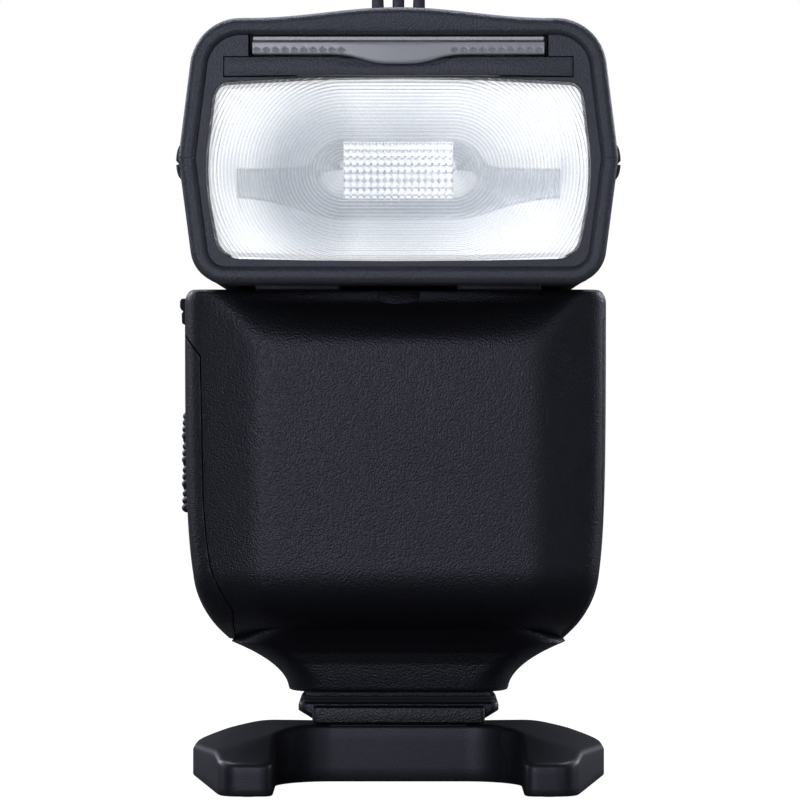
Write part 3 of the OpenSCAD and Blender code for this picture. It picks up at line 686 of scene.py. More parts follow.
def bodySolid(name, inset=0.0, rim=0.5):
    # closed loops of the body's section from the seam to the top, each found along rays from the axis
    cols = body["columns"]
    angle = np.arange(cols) * tau / cols

    def reach(z, more=0.0):
        # distance from the axis to the section at height z, along each ray
        return radialSolve(lambda x, y: bodyForm(x, y, z) + inset + more, angle)

    low, high = np.full(cols, 26.1 + inset), np.full(cols, 32.0 + inset)
    for _ in range(18):
        middle = (low + high) / 2
        above = seamHeight(reach(middle) * np.cos(angle)) + inset > middle
        low, high = np.where(above, middle, low), np.where(above, high, middle)
    foot = (low + high) / 2
    top = body["top"] - inset
    loops = []
    for t in np.linspace(0, 1, 26)[:-1]:
        loops.append((foot + (41 - foot) * (1 - math.cos(t * math.pi / 2)), 0.0))
    for z in [*np.linspace(41, 76, 24)[:-1], *np.linspace(76, top - rim, 26)]:
        loops.append((np.full(cols, z), 0.0))
    for a in np.linspace(0, math.pi / 2, 5)[1:]:
        loops.append((np.full(cols, top - rim * (1 - math.sin(a))), rim * (1 - math.cos(a))))
    points = []
    for z, more in loops:
        r = reach(z, more)
        points.append(np.stack([r * np.cos(angle), r * np.sin(angle), z], -1))
    return skinObject(name, np.array(points))


def doorPrism(name, gap):
    # the space that the battery door fills, seen from the front, drawn in by gap
    line = [(-35, 77.2), (-38.2, 81.5), (-60, 81.5), (-60, 20), (-29.3, 20), (-29.3, 32), (-30.6, 34.2),
            (-31.7, 36.2), (-32.6, 38.1), (-33.2, 39.9), (-33.9, 44.4), (-34.5, 51.7)]
    outline = [(x - gap, z - (gap if z > 70 else 0)) for x, z in line]
    return prism(name, outline, -60, 12.6 - gap, "y")


def gripPrism(name, gap):
    # the space that the side grip fills, seen from the front, drawn in by gap
    line = [(60, 84), (36.3, 84), (36.3, 42), (35, 37), (32.4, 31.5), (29.5, 27.4), (29.5, 20), (60, 20)]
    outline = [(x + gap, z - (gap if z > 70 else 0)) for x, z in line]
    return prism(name, outline, -28.6 + gap, 14 - gap, "y")


def rodCutter(name, axis, start, end, centre, radius, cols=48):
    # a cylinder between two places on its axis, for cutting holes
    return turned(name, [(radius, start), (radius, end)], centre, axis, cols)


def pillCutter(name, x, z, width, height, start, end):
    # a bar along Y with round ends
    half, r = (width - height) / 2, height / 2
    a = np.linspace(-math.pi / 2, math.pi / 2, 17)
    right = np.stack([x + half + r * np.cos(a), z + r * np.sin(a)], -1)
    left = np.stack([x - half - r * np.cos(a), z - r * np.sin(a)], -1)
    return prism(name, np.vstack([right, left]), start, end, "y")


covers = {"hinge": (-37.9, 14, 0), "knuckles": ((43.6, 49.6), (62.4, 68.4)), "keys": (-19.5, -6.5, 6.5, 19.5),
          "holes": ((-17, 46, 2.8), (17, 46, 2.8), (-17, 38.6, 2.8), (0, 42.2, 4.35), (-30, 37, 1.3),
                    (30, 37, 1.3), (-31.5, 80, 1.3), (31.5, 80, 1.3)),
          "gripGap": 0.12, "doorGap": 0.22, "dots": (0.95, 1.15, 0.85)}


def makeCovers():
    # one body, hollowed, then shared out between the two covers, the grip and the battery door
    outer = bodySolid("outer")
    inner = bodySolid("inner", body["wall"], 1.0)
    shell = carve(copyOf(outer, "shell"), [copyOf(inner, "innerCut")])
    well = rodCutter("well", "z", 84.9, 95, (0, 0, 0), 29.8, 160)
    neck = rodCutter("neck", "z", 70, 95, (0, 0, 0), 16, 96)
    ring = rodCutter("ring", "z", 82.6, 84.9, (0, 0, 0), 28.6, 160)
    gripSpace = carve(gripPrism("gripSpace", 0), [bodySolid("gripBase", 1.3, 0.4)])
    carve(shell, [ring], "UNION")
    carve(shell, [well, neck, doorPrism("doorCut", 0), gripSpace])

    front = copyOf(shell, "frontCover")
    carve(front, [boxSolid("rearHalf", (-90, 1.95, 0), (90, 90, 120)),
                  boxSolid("flapSpace", (-60, -21.3, 82.6), (-37.5, -8.7, 87.9)),
                  rodCutter("socketHole", "x", -60, -30, (0, -17.5, 85.2), 1.9)])
    rear = shell
    rear.name = "rearCover"
    holes = [boxSolid("frontHalf", (-90, -90, 0), (90, 2.05, 120)),
             rodCutter("hingeGroove", "z", 25.8, 81.5, covers["hinge"], 2.3),
             boxSolid("leafSpace", (-40, 12, 46.4), (-35, 15.2, 62.4)),
             boxSolid("displayHole", (-24, 20, 58.0), (24, 60, 81.2)),
             pillCutter("switchHole", 17, 38.6, 10.6, 3.1, 20, 60)]
    holes += [pillCutter("keyHole", x, 53.6, 8.6, 4.2, 20, 60) for x in covers["keys"]]
    holes += [rodCutter("roundHole", "y", 20, 60, (x, 0, z), r, 40) for x, z, r in covers["holes"]]
    carve(rear, holes)
    for piece, node in ((front, "front_cover"), (rear, "rear_cover")):
        place(piece, finishes["body_plastic"], node, angle=34)

    grip = carve(copyOf(outer, "sideGrip"), [gripPrism("gripKeep", covers["gripGap"])], "INTERSECT")
    carve(grip, [bodySolid("gripInner", 1.2, 0.4)])
    place(grip, finishes["grip_rubber"], "side_grip", angle=40)

    door = carve(outer, [doorPrism("doorKeep", covers["doorGap"])], "INTERSECT")
    door.name = "batteryDoor"
    carve(door, [inner])
    dots = [(-38.62 + 0.22 * dot, -5 - 5 * dot, 66.4 - 4.3 * row - 1.15 * dot)
            for row in range(4) for dot in range(4)]
    knuckles = [rodCutter("knuckle", "z", a, b, covers["hinge"], 1.1, 32) for a, b in covers["knuckles"]]
    arms = [boxSolid("arm", (-38.4, 10, a), (-36.9, 14, b)) for a, b in covers["knuckles"]]
    carve(door, [ballCluster("dots", dots, covers["dots"]), *knuckles, *arms], "UNION")
    carve(door, [rodCutter("pinHole", "z", a, b, covers["hinge"], 0.66, 24) for a, b in ((40, 50.5), (61.5, 72))])
    edgeRound(door, 0.14, 50, 2)
    place(door, finishes["body_plastic"], "battery_door", angle=34)


makeCovers()
print("body: covers, grip and battery door")


# front and rear distance of the skirt at each of its heights
skirt = {"heights": [15.9, 16.8, 19.5, 22, 24, 26, 28.6], "front": [14.4, 18.6, 19.1, 19.5, 20.2, 21.6, 24.0],
         "rear": [13.4, 18.6, 19.1, 19.6, 20.6, 23.0, 27.0], "corner": 7.0}


def skirtSection(z):
    # half width, and front and rear distance, of the skirt at height z
    wide = np.where(z < 25.8, 19.9 + 0.128 * (z - 16.8) ** 2, 30.2 - (z - 25.8) * 1.6)
    return wide, np.interp(z, skirt["heights"], skirt["front"]), np.interp(z, skirt["heights"], skirt["rear"])


def makeSkirt():
    # loops of a rounded rectangle whose sides sweep in towards the foot
    cols = 320
    angle = np.arange(cols) * tau / cols
    heights = [16.8, 16.95, 17.3, *np.linspace(17.8, 25.8, 34), *np.linspace(26.0, 28.6, 12)]
    loops = []
    for row, z in enumerate(heights):
        wide, front, rear = skirtSection(np.array(float(z)))
        trim = (0.45, 0.15, 0.0)[row] if row < 3 else 0.0
        half, middle = (front + rear) / 2 - trim, (rear - front) / 2
        corner = skirt["corner"]

        def section(x, y):
            # signed distance to a rectangle with round corners
            qx, qy = np.abs(x) - (wide - trim - corner), np.abs(y - middle) - (half - corner)
            return np.hypot(np.maximum(qx, 0), np.maximum(qy, 0)) + np.minimum(np.maximum(qx, qy), 0) - corner

        r = radialSolve(section, angle)
        loops.append(np.stack([r * np.cos(angle), r * np.sin(angle), np.full(cols, float(z))], -1))
    piece = skinObject("lowerSkirt", np.array(loops))
    carve(piece, [boxSolid("hollow", (-17, -16, 19), (17, 16, 60)), rodCutter("wireHole", "z", 10, 40, (0, 0, 0), 6)])
    foot = boxSolid("neckBlock", (-16.8, -14.4, 15.9), (16.8, 13.4, 17.2))
    foot = carve(foot, [rodCutter("wireHole2", "z", 10, 40, (0, 0, 0), 6)])
    carve(piece, [foot], "UNION")
    place(piece, finishes["body_plastic"], "lower_skirt", angle=36)


def roundedLoop(halfX, frontY, rearY, corner, perCorner=9):
    # a rectangle with round corners, from its half width and its front and rear places
    spots = []
    a = np.linspace(0, math.pi / 2, perCorner)
    for turn, cx, cy in ((0, halfX - corner, rearY - corner), (1, -halfX + corner, rearY - corner),
                         (2, -halfX + corner, frontY + corner), (3, halfX - corner, frontY + corner)):
        b = a + turn * math.pi / 2
        spots.append(np.stack([cx + corner * np.cos(b), cy + corner * np.sin(b)], -1))
    return np.vstack(spots)


def stacked(name, rows):
    # closed loops from (height, half width, front, rear, corner) rows
    loops = []
    for z, halfX, frontY, rearY, corner in rows:
        flat = roundedLoop(halfX, frontY, rearY, corner)
        loops.append(np.column_stack([flat, np.full(len(flat), float(z))]))
    return skinObject(name, np.array(loops))


# rows of height, half width, front, rear and corner
collar = {"housing": [(10.9, 15.1, -12.5, 12.7, 1.5), (11.15, 15.4, -12.8, 13.0, 1.6), (11.5, 15.7, -12.9, 13.0, 1.6),
                      (12.9, 18.0, -12.9, 13.0, 1.8), (13.1, 18.2, -12.9, 13.0, 1.8), (14.1, 18.2, -12.9, 13.0, 1.8),
                      (14.35, 18.05, -12.8, 12.9, 1.7), (14.6, 17.8, -12.6, 12.7, 1.6)],
          "plate": [(10.9, 15.2, -15.6, -11, 0.8), (11.2, 15.6, -16, -11, 0.9), (13.7, 15.6, -16, -11, 0.9),
                    (14.0, 15.3, -15.7, -11, 0.8)],
          "seal": [(14.6, 17.2, -14.7, 13.7, 1.5), (14.8, 17.5, -15, 14, 1.6), (15.1, 17.35, -14.85, 13.85, 1.5),
                   (15.4, 17.5, -15, 14, 1.6), (15.75, 17.4, -14.9, 13.9, 1.6), (15.9, 17.1, -14.6, 13.6, 1.5)]}


def makeFoot():
    # the flared collar and the seal are loops of a rounded rectangle; the lever's way is cut out of the collar
    housing = stacked("footHousing", collar["housing"])
    plate = stacked("frontPlate", collar["plate"])
    carve(housing, [plate], "UNION")
    carve(housing, [rodCutter("leverDisc", "z", 12, 14, (0, 0, 0), 10.4, 96),
                    boxSolid("leverWay", (-40, 2, 12), (40, 40, 14)),
                    rodCutter("pinWay", "z", 5, 12.05, (0, -7.5, 0), 1.3)])
    edgeRound(housing, 0.12, 40, 2)
    place(housing, finishes["body_plastic"], "foot_housing", angle=34)
    seal = stacked("footSeal", collar["seal"])
    place(seal, finishes["rubber"], "foot_seal", angle=30)


stand = {"round": 1.0, "reach": 38.0, "side": 38.0, "tipCount": 25, "runCount": 240}


def arcPoints(cx, cy, r, start, end, count):
    # an arc of radius r round (cx, cy), from one angle to another in degrees
    a = np.radians(np.linspace(start, end, count))
    return np.stack([cx + r * np.cos(a), cy + r * np.sin(a)], -1)


def resampled(points, count):
    # the same open line with evenly spaced points
    points = np.asarray(points, float)
    length = np.concatenate([[0], np.cumsum(np.hypot(*np.diff(points, axis=0).T))])
    even = np.linspace(0, length[-1], count)
    return np.stack([np.interp(even, length, points[:, 0]), np.interp(even, length, points[:, 1])], -1)


def inwardOf(loop):
    # unit directions across a closed loop that point inwards, at a right angle to the line between its neighbours
    along = np.roll(loop, -1, axis=0) - np.roll(loop, 1, axis=0)
    along /= np.hypot(*along.T)[:, None]
    across = np.stack([-along[:, 1], along[:, 0]], -1)
    return -across if across[np.argmax(loop[:, 0]), 0] > 0 else across


def standHeight(x, y):
    # the crown: level in the middle, falling towards the sides, the legs' ends and the rear
    crest = np.interp(np.abs(x), [0, 15, 18, 21, 25, 32, 38, 39], [10.6, 10.6, 10.45, 10.0, 8.9, 7.4, 5.7, 5.4])
    slope = np.interp(y, [-38, -12.5, -11, 21, 25], [5.8, 10.85, 10.85, 8.6, 8.1])
    slope = slope - 0.4 * np.exp(-(x / 15) ** 2) * (y > -5)
    return -softMax([-crest, -slope], 0.25)


def makeStand():
    # four matching runs bound the plan: the inner edge, the outer edge and the two legs' ends
    side = stand["side"]
    outer = np.vstack([[[0, 23]], arcPoints(18, 6, 17, 90, 70, 12), arcPoints(side - 14, 7, 14, 60, 0, 24),
                       [[side, 0], [32.7, -30], [31.86, -34.56]]])
    inner = np.vstack([[[0, -11.5]], arcPoints(12, -21.5, 10, 90, 0, 24), [[22, -34]]])
    tip = np.vstack([[[31.86, -34.56]], arcPoints(27.9, -stand["reach"] + 4.0, 4.0, -8, -90, 14),
                     arcPoints(24, -stand["reach"] + 2, 2, -90, -180, 12), [[22, -34]]])
    count, ends = stand["runCount"], stand["tipCount"]
    halves = [resampled(line, count // 2 + 1) for line in (outer, inner)]
    outerRun, innerRun = [np.vstack([half[::-1] * [-1, 1], half[1:]]) for half in halves]
    tipRun = resampled(tip, ends)
    # the loop goes along the outer run, round the right tip, back along the inner run and round the left tip
    loop = np.vstack([outerRun, tipRun[1:-1], innerRun[::-1], (tipRun[1:-1] * [-1, 1])[::-1]])
    inward = inwardOf(loop)
    r = stand["round"]
    rows = []
    for z, shift in ((0.0, 0.35), (0.12, 0.1), (0.35, 0.0)):
        flat = loop + inward * shift
        rows.append(np.column_stack([flat, np.full(len(flat), z)]))
    for t in (0.25, 0.5, 0.75):
        rows.append(np.column_stack([loop, 0.35 + (standHeight(*loop.T) - r - 0.35) * t]))
    for a in np.linspace(0, math.pi / 2, 7):
        flat = loop + inward * r * (1 - math.cos(a))
        rows.append(np.column_stack([flat, standHeight(*flat.T) - r * (1 - math.sin(a))]))
    points = np.vstack(rows)
    cols = len(loop)
    faces = gridQuads(len(rows), cols, True).tolist()
    # the cap is a grid spanned between the four runs of the last loop
    last = rows[-1][:, :2]
    start = (len(rows) - 1) * cols
    n = len(outerRun)
    top = np.arange(n)
    right = np.concatenate([[n - 1], np.arange(n, n + ends - 2), [n + ends - 2]])
    bottom = np.arange(n + ends - 2, 2 * n + ends - 2)[::-1]
    left = np.concatenate([[0], np.arange(2 * n + ends - 2, cols)[::-1], [bottom[0]]])
    u, v = np.linspace(0, 1, n)[:, None, None], np.linspace(0, 1, ends)[None, :, None]
    a, b, c, d = last[top], last[bottom], last[left], last[right]
    corners = ((1 - u) * ((1 - v) * a[0] + v * b[0]) + u * ((1 - v) * a[-1] + v * b[-1]))
    plan = (1 - v) * a[:, None] + v * b[:, None] + (1 - u) * c[None] + u * d[None] - corners
    for first, height in ((start, standHeight), (0, lambda x, y: 0 * x)):
        grid = np.zeros((n, ends), int)
        fresh = np.arange((n - 2) * (ends - 2)).reshape(n - 2, ends - 2) + len(points)
        grid[1:-1, 1:-1] = fresh
        grid[:, 0], grid[:, -1] = first + top, first + bottom
        grid[0, :], grid[-1, :] = first + left, first + right
        flat = plan[1:-1, 1:-1].reshape(-1, 2)
        points = np.vstack([points, np.column_stack([flat, height(*flat.T)])])
        quads = np.stack([grid[:-1, :-1], grid[1:, :-1], grid[1:, 1:], grid[:-1, 1:]], -1).reshape(-1, 4)
        faces += quads.tolist()
    piece = meshObject("standBase", points, faces)
    pad = stacked("shoePad", [(5, 13, -11.3, 11, 0.8), (10.3, 13, -11.3, 11, 0.8), (10.6, 12.7, -11, 10.7, 0.6)])
    carve(piece, [pad], "UNION")
    carve(piece, [boxSolid("shoeSlot", (-9.5, -10.2, 6.7), (9.5, 60, 8.95)),
                  boxSolid("slotMouth", (-9.5, 11, 6.7), (9.5, 60, 30)),
                  boxSolid("neckSlot", (-6.5, -10.2, 8.8), (6.5, 60, 30)),
                  rodCutter("pinSocket", "z", 4.2, 7, (0, -7.5, 0), 1.45),
                  rodCutter("bushHole", "z", -5, 6, (0, 0, 0), 4.5)])
    place(piece, finishes["stand_plastic"], "stand_base", angle=38)


makeSkirt()
makeFoot()
makeStand()
print("skirt, foot and stand")


# low and high are the corner arcs: centre across, centre up, radius; tilt is the tilt axle's place along Y and Z
head = {"split": 110.0, "halfSplit": 36.9, "top": 133.5, "low": (28.9, 94.9, 6.0), "high": (26.4, 124.9, 8.6),
        "front": -66.0, "back": -55.0, "tilt": (18.0, 109.0), "tail": 19.5, "wall": 2.0, "centre": 113.0,
        "axleHole": 3.05, "count": 360}


def mirrored(half, count):
    # a right half and its mirror image as one closed loop of count evenly spaced points
    return resampled(np.vstack([half, half[::-1] * [-1, 1]]), count + 1)[:-1]


def headOutline(inset=0.0):
    # right half by arcs and straight sides, then its mirror image
    low, high = head["low"], head["high"]
    side = head["halfSplit"] - inset
    a = arcPoints(low[0], low[1], low[2] - inset, -90, -8, 16)
    b = arcPoints(high[0], high[1], high[2] - inset, 10, 90, 20)
    ease = arcPoints(side - 3.0, head["split"], 3.0, -7, 7, 7)
    half = np.vstack([[[0, a[0, 1]]], a, ease, b, [[0, b[-1, 1]]]])
    return mirrored(half, head["count"])


def hump(x):
    # a low arch in the middle of the top
    return 1.8 * np.cos(np.clip(np.abs(x) / 25, 0, 1) * math.pi / 2) ** 2


def lensOutline(grow=0.0, count=240):
    # a barrel: bowed edges between small round corners
    base = arcPoints(26.6, 97.3, 4.2 + grow, -88, -8, 14)
    crown = arcPoints(28.4, 120.1, 2.7 + grow, 5, 84, 12)
    mid = np.array([[31.6, 101], [32.05, 104], [32.3, 108], [32.1, 112], [31.6, 116]]) + [grow, 0]
    half = np.vstack([[[0, 92.75 - grow], [14, 92.85 - grow]], base, mid, crown,
                      [[14, 123.5 + grow], [0, 123.7 + grow]]])
    return mirrored(half, count)


def headSolid(name, inset=0.0, start=None):
    # the outline carried back along Y, cut softly by the rounded tail below and the slanting top behind
    cols = head["count"]
    face = headOutline(inset)
    centre = head["centre"]
    angle = np.arange(cols) * tau / cols
    polar = np.arctan2(face[:, 1] - centre, face[:, 0])
    order = np.argsort(polar)
    reach = np.interp(angle, polar[order], np.hypot(face[order, 0], face[order, 1] - centre), period=tau)
    ty, tz = head["tilt"]
    tail = head["tail"] - inset
    begin = head["back"] if start is None else start
    turn = np.linspace(0, math.pi / 2, 40)
    places = np.concatenate([np.linspace(begin, 0, 28)[:-1], np.linspace(0, ty, 10)[:-1],
                             ty + tail * np.sin(turn)[:-1], [ty + tail - 0.02]])
    loops = []
    for y in places:
        low = tz - math.sqrt(max(tail ** 2 - max(y - ty, 0) ** 2, 0))
        high = head["top"] - inset - 0.1946 * (y - 2) - (0 if y < 30.5 else 0.09 * (y - 30.5) ** 2)
        low = max(low, 89.4 + inset)
        down = np.where(np.sin(angle) < -0.02, (low - centre) / np.minimum(np.sin(angle), -0.02), 400)
        up = np.where(np.sin(angle) > 0.02, (high - centre) / np.maximum(np.sin(angle), 0.02), 400)
        back = 3.0 - math.sqrt(max(9.0 - max(y - (ty + tail - 3.0), 0) ** 2, 0))
        near = -softMax([-(reach - back), -down, -up], 0.6)
        fade = np.clip((-28 - y) / 5, 0, 1)
        x, z = near * np.cos(angle), centre + near * np.sin(angle)
        z = z + np.where((z > 130) & (inset == 0), hump(x) * fade * fade * (3 - 2 * fade), 0)
        loops.append(np.stack([x, np.full(cols, y), z], -1))
    return skinObject(name, np.array(loops))


def makeShells():
    # the head, hollowed and opened, then cut at its split into an upper and a lower shell
    axle = (0, *head["tilt"])
    outer = headSolid("headOuter")
    inner = headSolid("headInner", head["wall"], -57.0)
    carve(inner, [boxSolid("cheeks", (-21.2, -0.8, 60), (21.2, 80, 127.9))])
    carve(outer, [inner, boxSolid("neckWay", (-19.4, 1, 60), (19.4, 80, 126)),
                  boxSolid("cardWay", (-25.2, -80, 127), (25.2, -20, 130.7)),
                  rodCutter("axleWay", "x", -27.5, 27.5, axle, head["axleHole"]),
                  rodCutter("buttonWay", "x", 30, 60, axle, 5.3, 64)])
    lower = copyOf(outer, "lowerShell")
    carve(lower, [boxSolid("above", (-90, -90, head["split"] - 0.05), (90, 90, 200))])
    upper = outer
    upper.name = "upperShell"
    carve(upper, [boxSolid("below", (-90, -90, 0), (90, 90, head["split"] + 0.05))])
    place(upper, finishes["head_plastic"], "upper_shell", angle=32)
    place(lower, finishes["head_plastic"], "lower_shell", angle=32)


# steps are places along Y with how far the recess has opened there
bezel = {"rim": 2.9, "seat": 0.15, "round": 1.25,
         "steps": ((-67, 1.25), (-66.0, 0.95), (-65.85, 0.55), (-65.6, 0.28), (-65.3, 0.1), (-64.9, 0.0))}


def makeBezel():
    # the outer outline carried forward and rounded over into the rim, with the recess and openings cut in
    full = headOutline()
    inward = inwardOf(full)
    r = bezel["round"]

    def loop(y, inset):
        # the outline drawn in by inset, with the hump on its upper edge
        flat = full + inward * inset
        z = flat[:, 1] + np.where(full[:, 1] > 130, hump(flat[:, 0]), 0)
        return np.stack([flat[:, 0], np.full(len(flat), float(y)), z], -1)

    loops = [loop(y, 0) for y in np.linspace(head["back"], head["front"] + r, 6)]
    for a in np.linspace(0, math.pi / 2, 9)[1:]:
        loops.append(loop(head["front"] + r * (1 - math.sin(a)), r * (1 - math.cos(a))))
    for a in np.linspace(0, math.pi / 2, 5)[1:]:
        loops.append(loop(head["front"] + 0.02 * a, r + 0.35 * a))
    piece = skinObject("frontBezel", np.array(loops))
    steps = []
    for y, grow in bezel["steps"]:
        flat = headOutline(bezel["rim"] - grow)
        steps.append(np.stack([flat[:, 0], np.full(len(flat), y), flat[:, 1]], -1))
    cutters = [skinObject("recess", np.array(steps)), prism("lensSeat", lensOutline(bezel["seat"]), -80, -50, "y"),
               boxSolid("coverSeat", (-29.4, -80, 123.5), (29.4, -62, 127.1)),
               boxSolid("slotSeat", (-25.2, -80, 127), (25.2, -40, 130.75))]
    cutters += [boxSolid("parting", (a, -67, 109.9), (b, -65.45, 110.08)) for a, b in ((-40, -33.2), (33.2, 40))]
    carve(piece, cutters)
    place(piece, finishes["head_plastic"], "front_bezel", angle=33)


lens = {"front": -64.6, "thick": 2.2, "centre": 108.0, "straight": 9.15, "first": 0.3, "pitch": 0.60,
        "groove": 0.2, "field": 4.7, "last": 27.5, "columns": 16, "rows": 8, "dome": 0.34}


def stadium(radius, count):
    # points round a straight middle stretch with half circles at its ends, evenly by angle
    a = np.arange(count) * tau / count
    side = np.where(np.cos(a) > 1e-9, 1, np.where(np.cos(a) < -1e-9, -1, 0))
    return radius * np.cos(a) + side * lens["straight"], radius * np.sin(a)


def makeLens():
    # rings of a saw-toothed profile run round the stadium, then the barrel outline is cut out of them
    count = 240
    radii, depths = [lens["first"]], [0.1]
    radius = lens["first"] + 0.05
    while radius < lens["last"]:
        radii += [radius, radius + lens["pitch"] - 0.06]
        depths += [0.0, lens["groove"]]
        radius += lens["pitch"]
    loops = []
    for radius, depth in zip(radii, depths):
        x, z = stadium(radius, count)
        loops.append(np.stack([x, np.full(count, lens["front"] + depth), lens["centre"] + z], -1))
    x, z = stadium(radii[-1], count)
    loops.append(np.stack([x, np.full(count, lens["front"] + lens["thick"]), lens["centre"] + z], -1))
    piece = skinObject("fresnelLens", np.array(loops))
    barrel = prism("barrel", lensOutline(), -70, -50, "y")
    carve(piece, [barrel], "INTERSECT")
    carve(piece, [boxSolid("fieldSeat", (-9.2, -66, 103.25), (9.2, lens["front"] + 0.42, 112.75))])

    # the middle field of small domes is a grid whose height is a dome in each cell
    nx, nz, cells = lens["columns"], lens["rows"], 6
    u = np.linspace(0, nx, nx * cells + 1)
    v = np.linspace(0, nz, nz * cells + 1)
    uu, vv = np.meshgrid(u, v, indexing="ij")
    dome = lens["dome"] * np.abs(np.sin(uu * math.pi)) * np.abs(np.sin(vv * math.pi))
    width, height = 2 * lens["straight"], 2 * lens["field"]
    x, z = (uu / nx - 0.5) * width, lens["centre"] + (vv / nz - 0.5) * height
    front = np.stack([x, lens["front"] + 0.33 - dome, z], -1)
    field = slab("lensletField", front, np.stack([x, np.full_like(x, lens["front"] + 0.6), z], -1))
    carve(piece, [field], "UNION")
    place(piece, finishes["lens_clear"], "fresnel_lens", angle=12)


slot = {"cover": 29.3, "panel": 24.5, "front": -64.4, "panelBack": -63.0, "prism": 1.58, "prismDepth": 0.45}


def makeSlot():
    # cover plate with a bowed lower edge, the clear panel with its prisms and tab, and the white card
    x = np.linspace(-slot["cover"], slot["cover"], 81)
    low = np.stack([x, 123.85 - 0.25 * (x / slot["cover"]) ** 2 + 0.15], -1)
    arch = np.stack([x[::-1], 127.0 - 1.45 * np.exp(-(np.abs(x[::-1]) / 8.2) ** 6)], -1)
    cover = prism("slotCover", np.vstack([low, arch]), slot["front"], -62.2, "y")
    edgeRound(cover, 0.12, 30, 2)
    place(cover, finishes["head_plastic"], "slot_cover", angle=30)

    # prisms: the panel's front edge is a grid whose depth is a row of small pyramids
    count, rows = 373, 15
    x = np.linspace(-slot["panel"], slot["panel"], count)
    v = np.linspace(0, 1, rows)
    xx, vv = np.meshgrid(x, v, indexing="ij")
    tab = 1.55 * np.exp(-(np.abs(x) / 7.0) ** 3.2)
    bottom, top = 127.45 - tab, np.full(count, 129.6)
    z = bottom[:, None] + (top - bottom)[:, None] * vv
    tooth = np.abs(((xx / slot["prism"]) % 1) - 0.5) * 2
    row = np.clip(1 - np.abs(z - 128.15) / 0.55, 0, 1)
    inBand = np.clip((np.abs(xx) - 8.3) / 0.8, 0, 1)
    depth = slot["prismDepth"] * np.clip(tooth + row - 1.0, 0, 1) * inBand
    edge = 0.35 * (1 - np.clip(np.minimum(vv, 1 - vv) / 0.12, 0, 1)) ** 2
    front = np.stack([xx, slot["front"] + depth + edge, z], -1)
    panel = slab("widePanel", front, np.stack([xx, np.full_like(xx, slot["panelBack"]), z], -1))
    carve(panel, [boxSolid("panelPlate", (-24.5, -63.2, 127.5), (24.5, -22, 128.7))], "UNION")
    place(panel, finishes["panel_clear"], "wide_panel", angle=20)

    card = boxSolid("bounceCard", (-24.4, -64.4, 129.8), (24.4, -21, 130.4))
    edgeRound(card, 0.12, 30, 2)
    place(card, finishes["card_white"], "bounce_card", angle=40)


trim = {"ribs": (-3.5, 0, 3.5), "ribTop": 137, "catch": (36.0, 109.8), "catchSize": (1.7, 3.15), "under": 17.2}


def makeHeadTrim():
    # three round ribs on the hump, the side catches and the catches underneath
    ribs = []
    for x in trim["ribs"]:
        a = np.linspace(0, math.pi, 15)
        crest = np.stack([x + np.cos(a), trim["ribTop"] + np.sin(a)], -1)
        outline = np.vstack([[[x + 1, 134.9]], crest, [[x - 1, 134.9]]])
        ribs.append(prism("rib", outline, -60, -46, "y"))
    first = ribs[0]
    carve(first, ribs[1:], "UNION")
    first.name = "topRibs"
    edgeRound(first, 0.25, 50, 3)
    place(first, finishes["dark_plastic"], "top_ribs", angle=40)

    blocks = []
    (across, up), (out, half) = trim["catch"], trim["catchSize"]
    for side in (-1, 1):
        a = np.linspace(-math.pi / 2, math.pi / 2, 25)
        bulge = np.stack([across + out * np.cos(a) ** 0.6, up + half * np.sin(a)], -1)
        outline = np.vstack([[[35.5, 106.65]], bulge, [[35.5, 112.95]]])
        block = prism("catch", outline * [side, 1], -58, -46, "y")
        near, far = sorted((side * 36.9, side * 40))
        carve(block, [boxSolid("catchSlot", (near, -59, 109.3), (far, -45, 109.9)),
                      headSolid("headKeep", -0.02, -62.0)])
        blocks.append(block)
        under = stacked("underCatch", [(88.15, 7.0, -53.3, -49.6, 0.4), (88.4, 7.2, -53.5, -49.4, 0.5),
                                       (89.6, 7.2, -53.5, -49.4, 0.5)])
        under.data.transform(Matrix.Translation((side * trim["under"] * mm, 0, 0)))
        blocks.append(under)
    first = blocks[0]
    carve(first, blocks[1:], "UNION")
    first.name = "adapterCatches"
    edgeRound(first, 0.15, 40, 2)
    place(first, finishes["dark_plastic"], "adapter_catches", angle=35)


turret = {"disc": [(7.98, 81), (12, 81), (12, 85.2), (29.2, 85.2), (29.5, 85.5), (29.5, 88.5), (29.35, 88.8),
                   (29.1, 88.9), (15, 88.9)],
          "block": [(88.8, 19, 1.5, 34.5, 1.0), (109, 19, 1.5, 34.5, 1.0)],
          "drum": [(15.9, -19), (16.5, -18.4), (16.5, 18.4), (15.9, 19)]}


def makeTurret():
    # the swivelling disc with its neck, a wide drum between the head's cheeks
    axle = (0, *head["tilt"])
    disc = turned("turret", turret["disc"], (0, 0, 0), "z", 240)
    block = stacked("pedestal", turret["block"])
    drum = turned("drum", turret["drum"], axle, "x", 128)
    carve(disc, [block, drum], "UNION")
    carve(disc, [rodCutter("core", "z", 80, 87, (0, 0, 0), 8),
                 rodCutter("axleHole", "x", -40, 40, axle, head["axleHole"])])
    place(disc, finishes["body_plastic"], "turret", angle=32)


makeShells()
makeBezel()
makeLens()
makeSlot()
makeHeadTrim()
makeTurret()
print("head, lens, slot and turret")


# a frame row is a place along Y, its share of the smaller outline, and how far it stands out
reflector = {"end": 26, "cheek": 25.3, "rear": -48, "half": 12.7, "outerHalf": 13.4,
             "frame": ((-62.3, 0.0, -0.7), (-58, 0.35, -0.7), (-53.0, 1.0, -0.7), (-53.0, 1.0, -0.1),
                       (-58, 0.35, 0.0), (-62.3, 0.0, 0.0))}


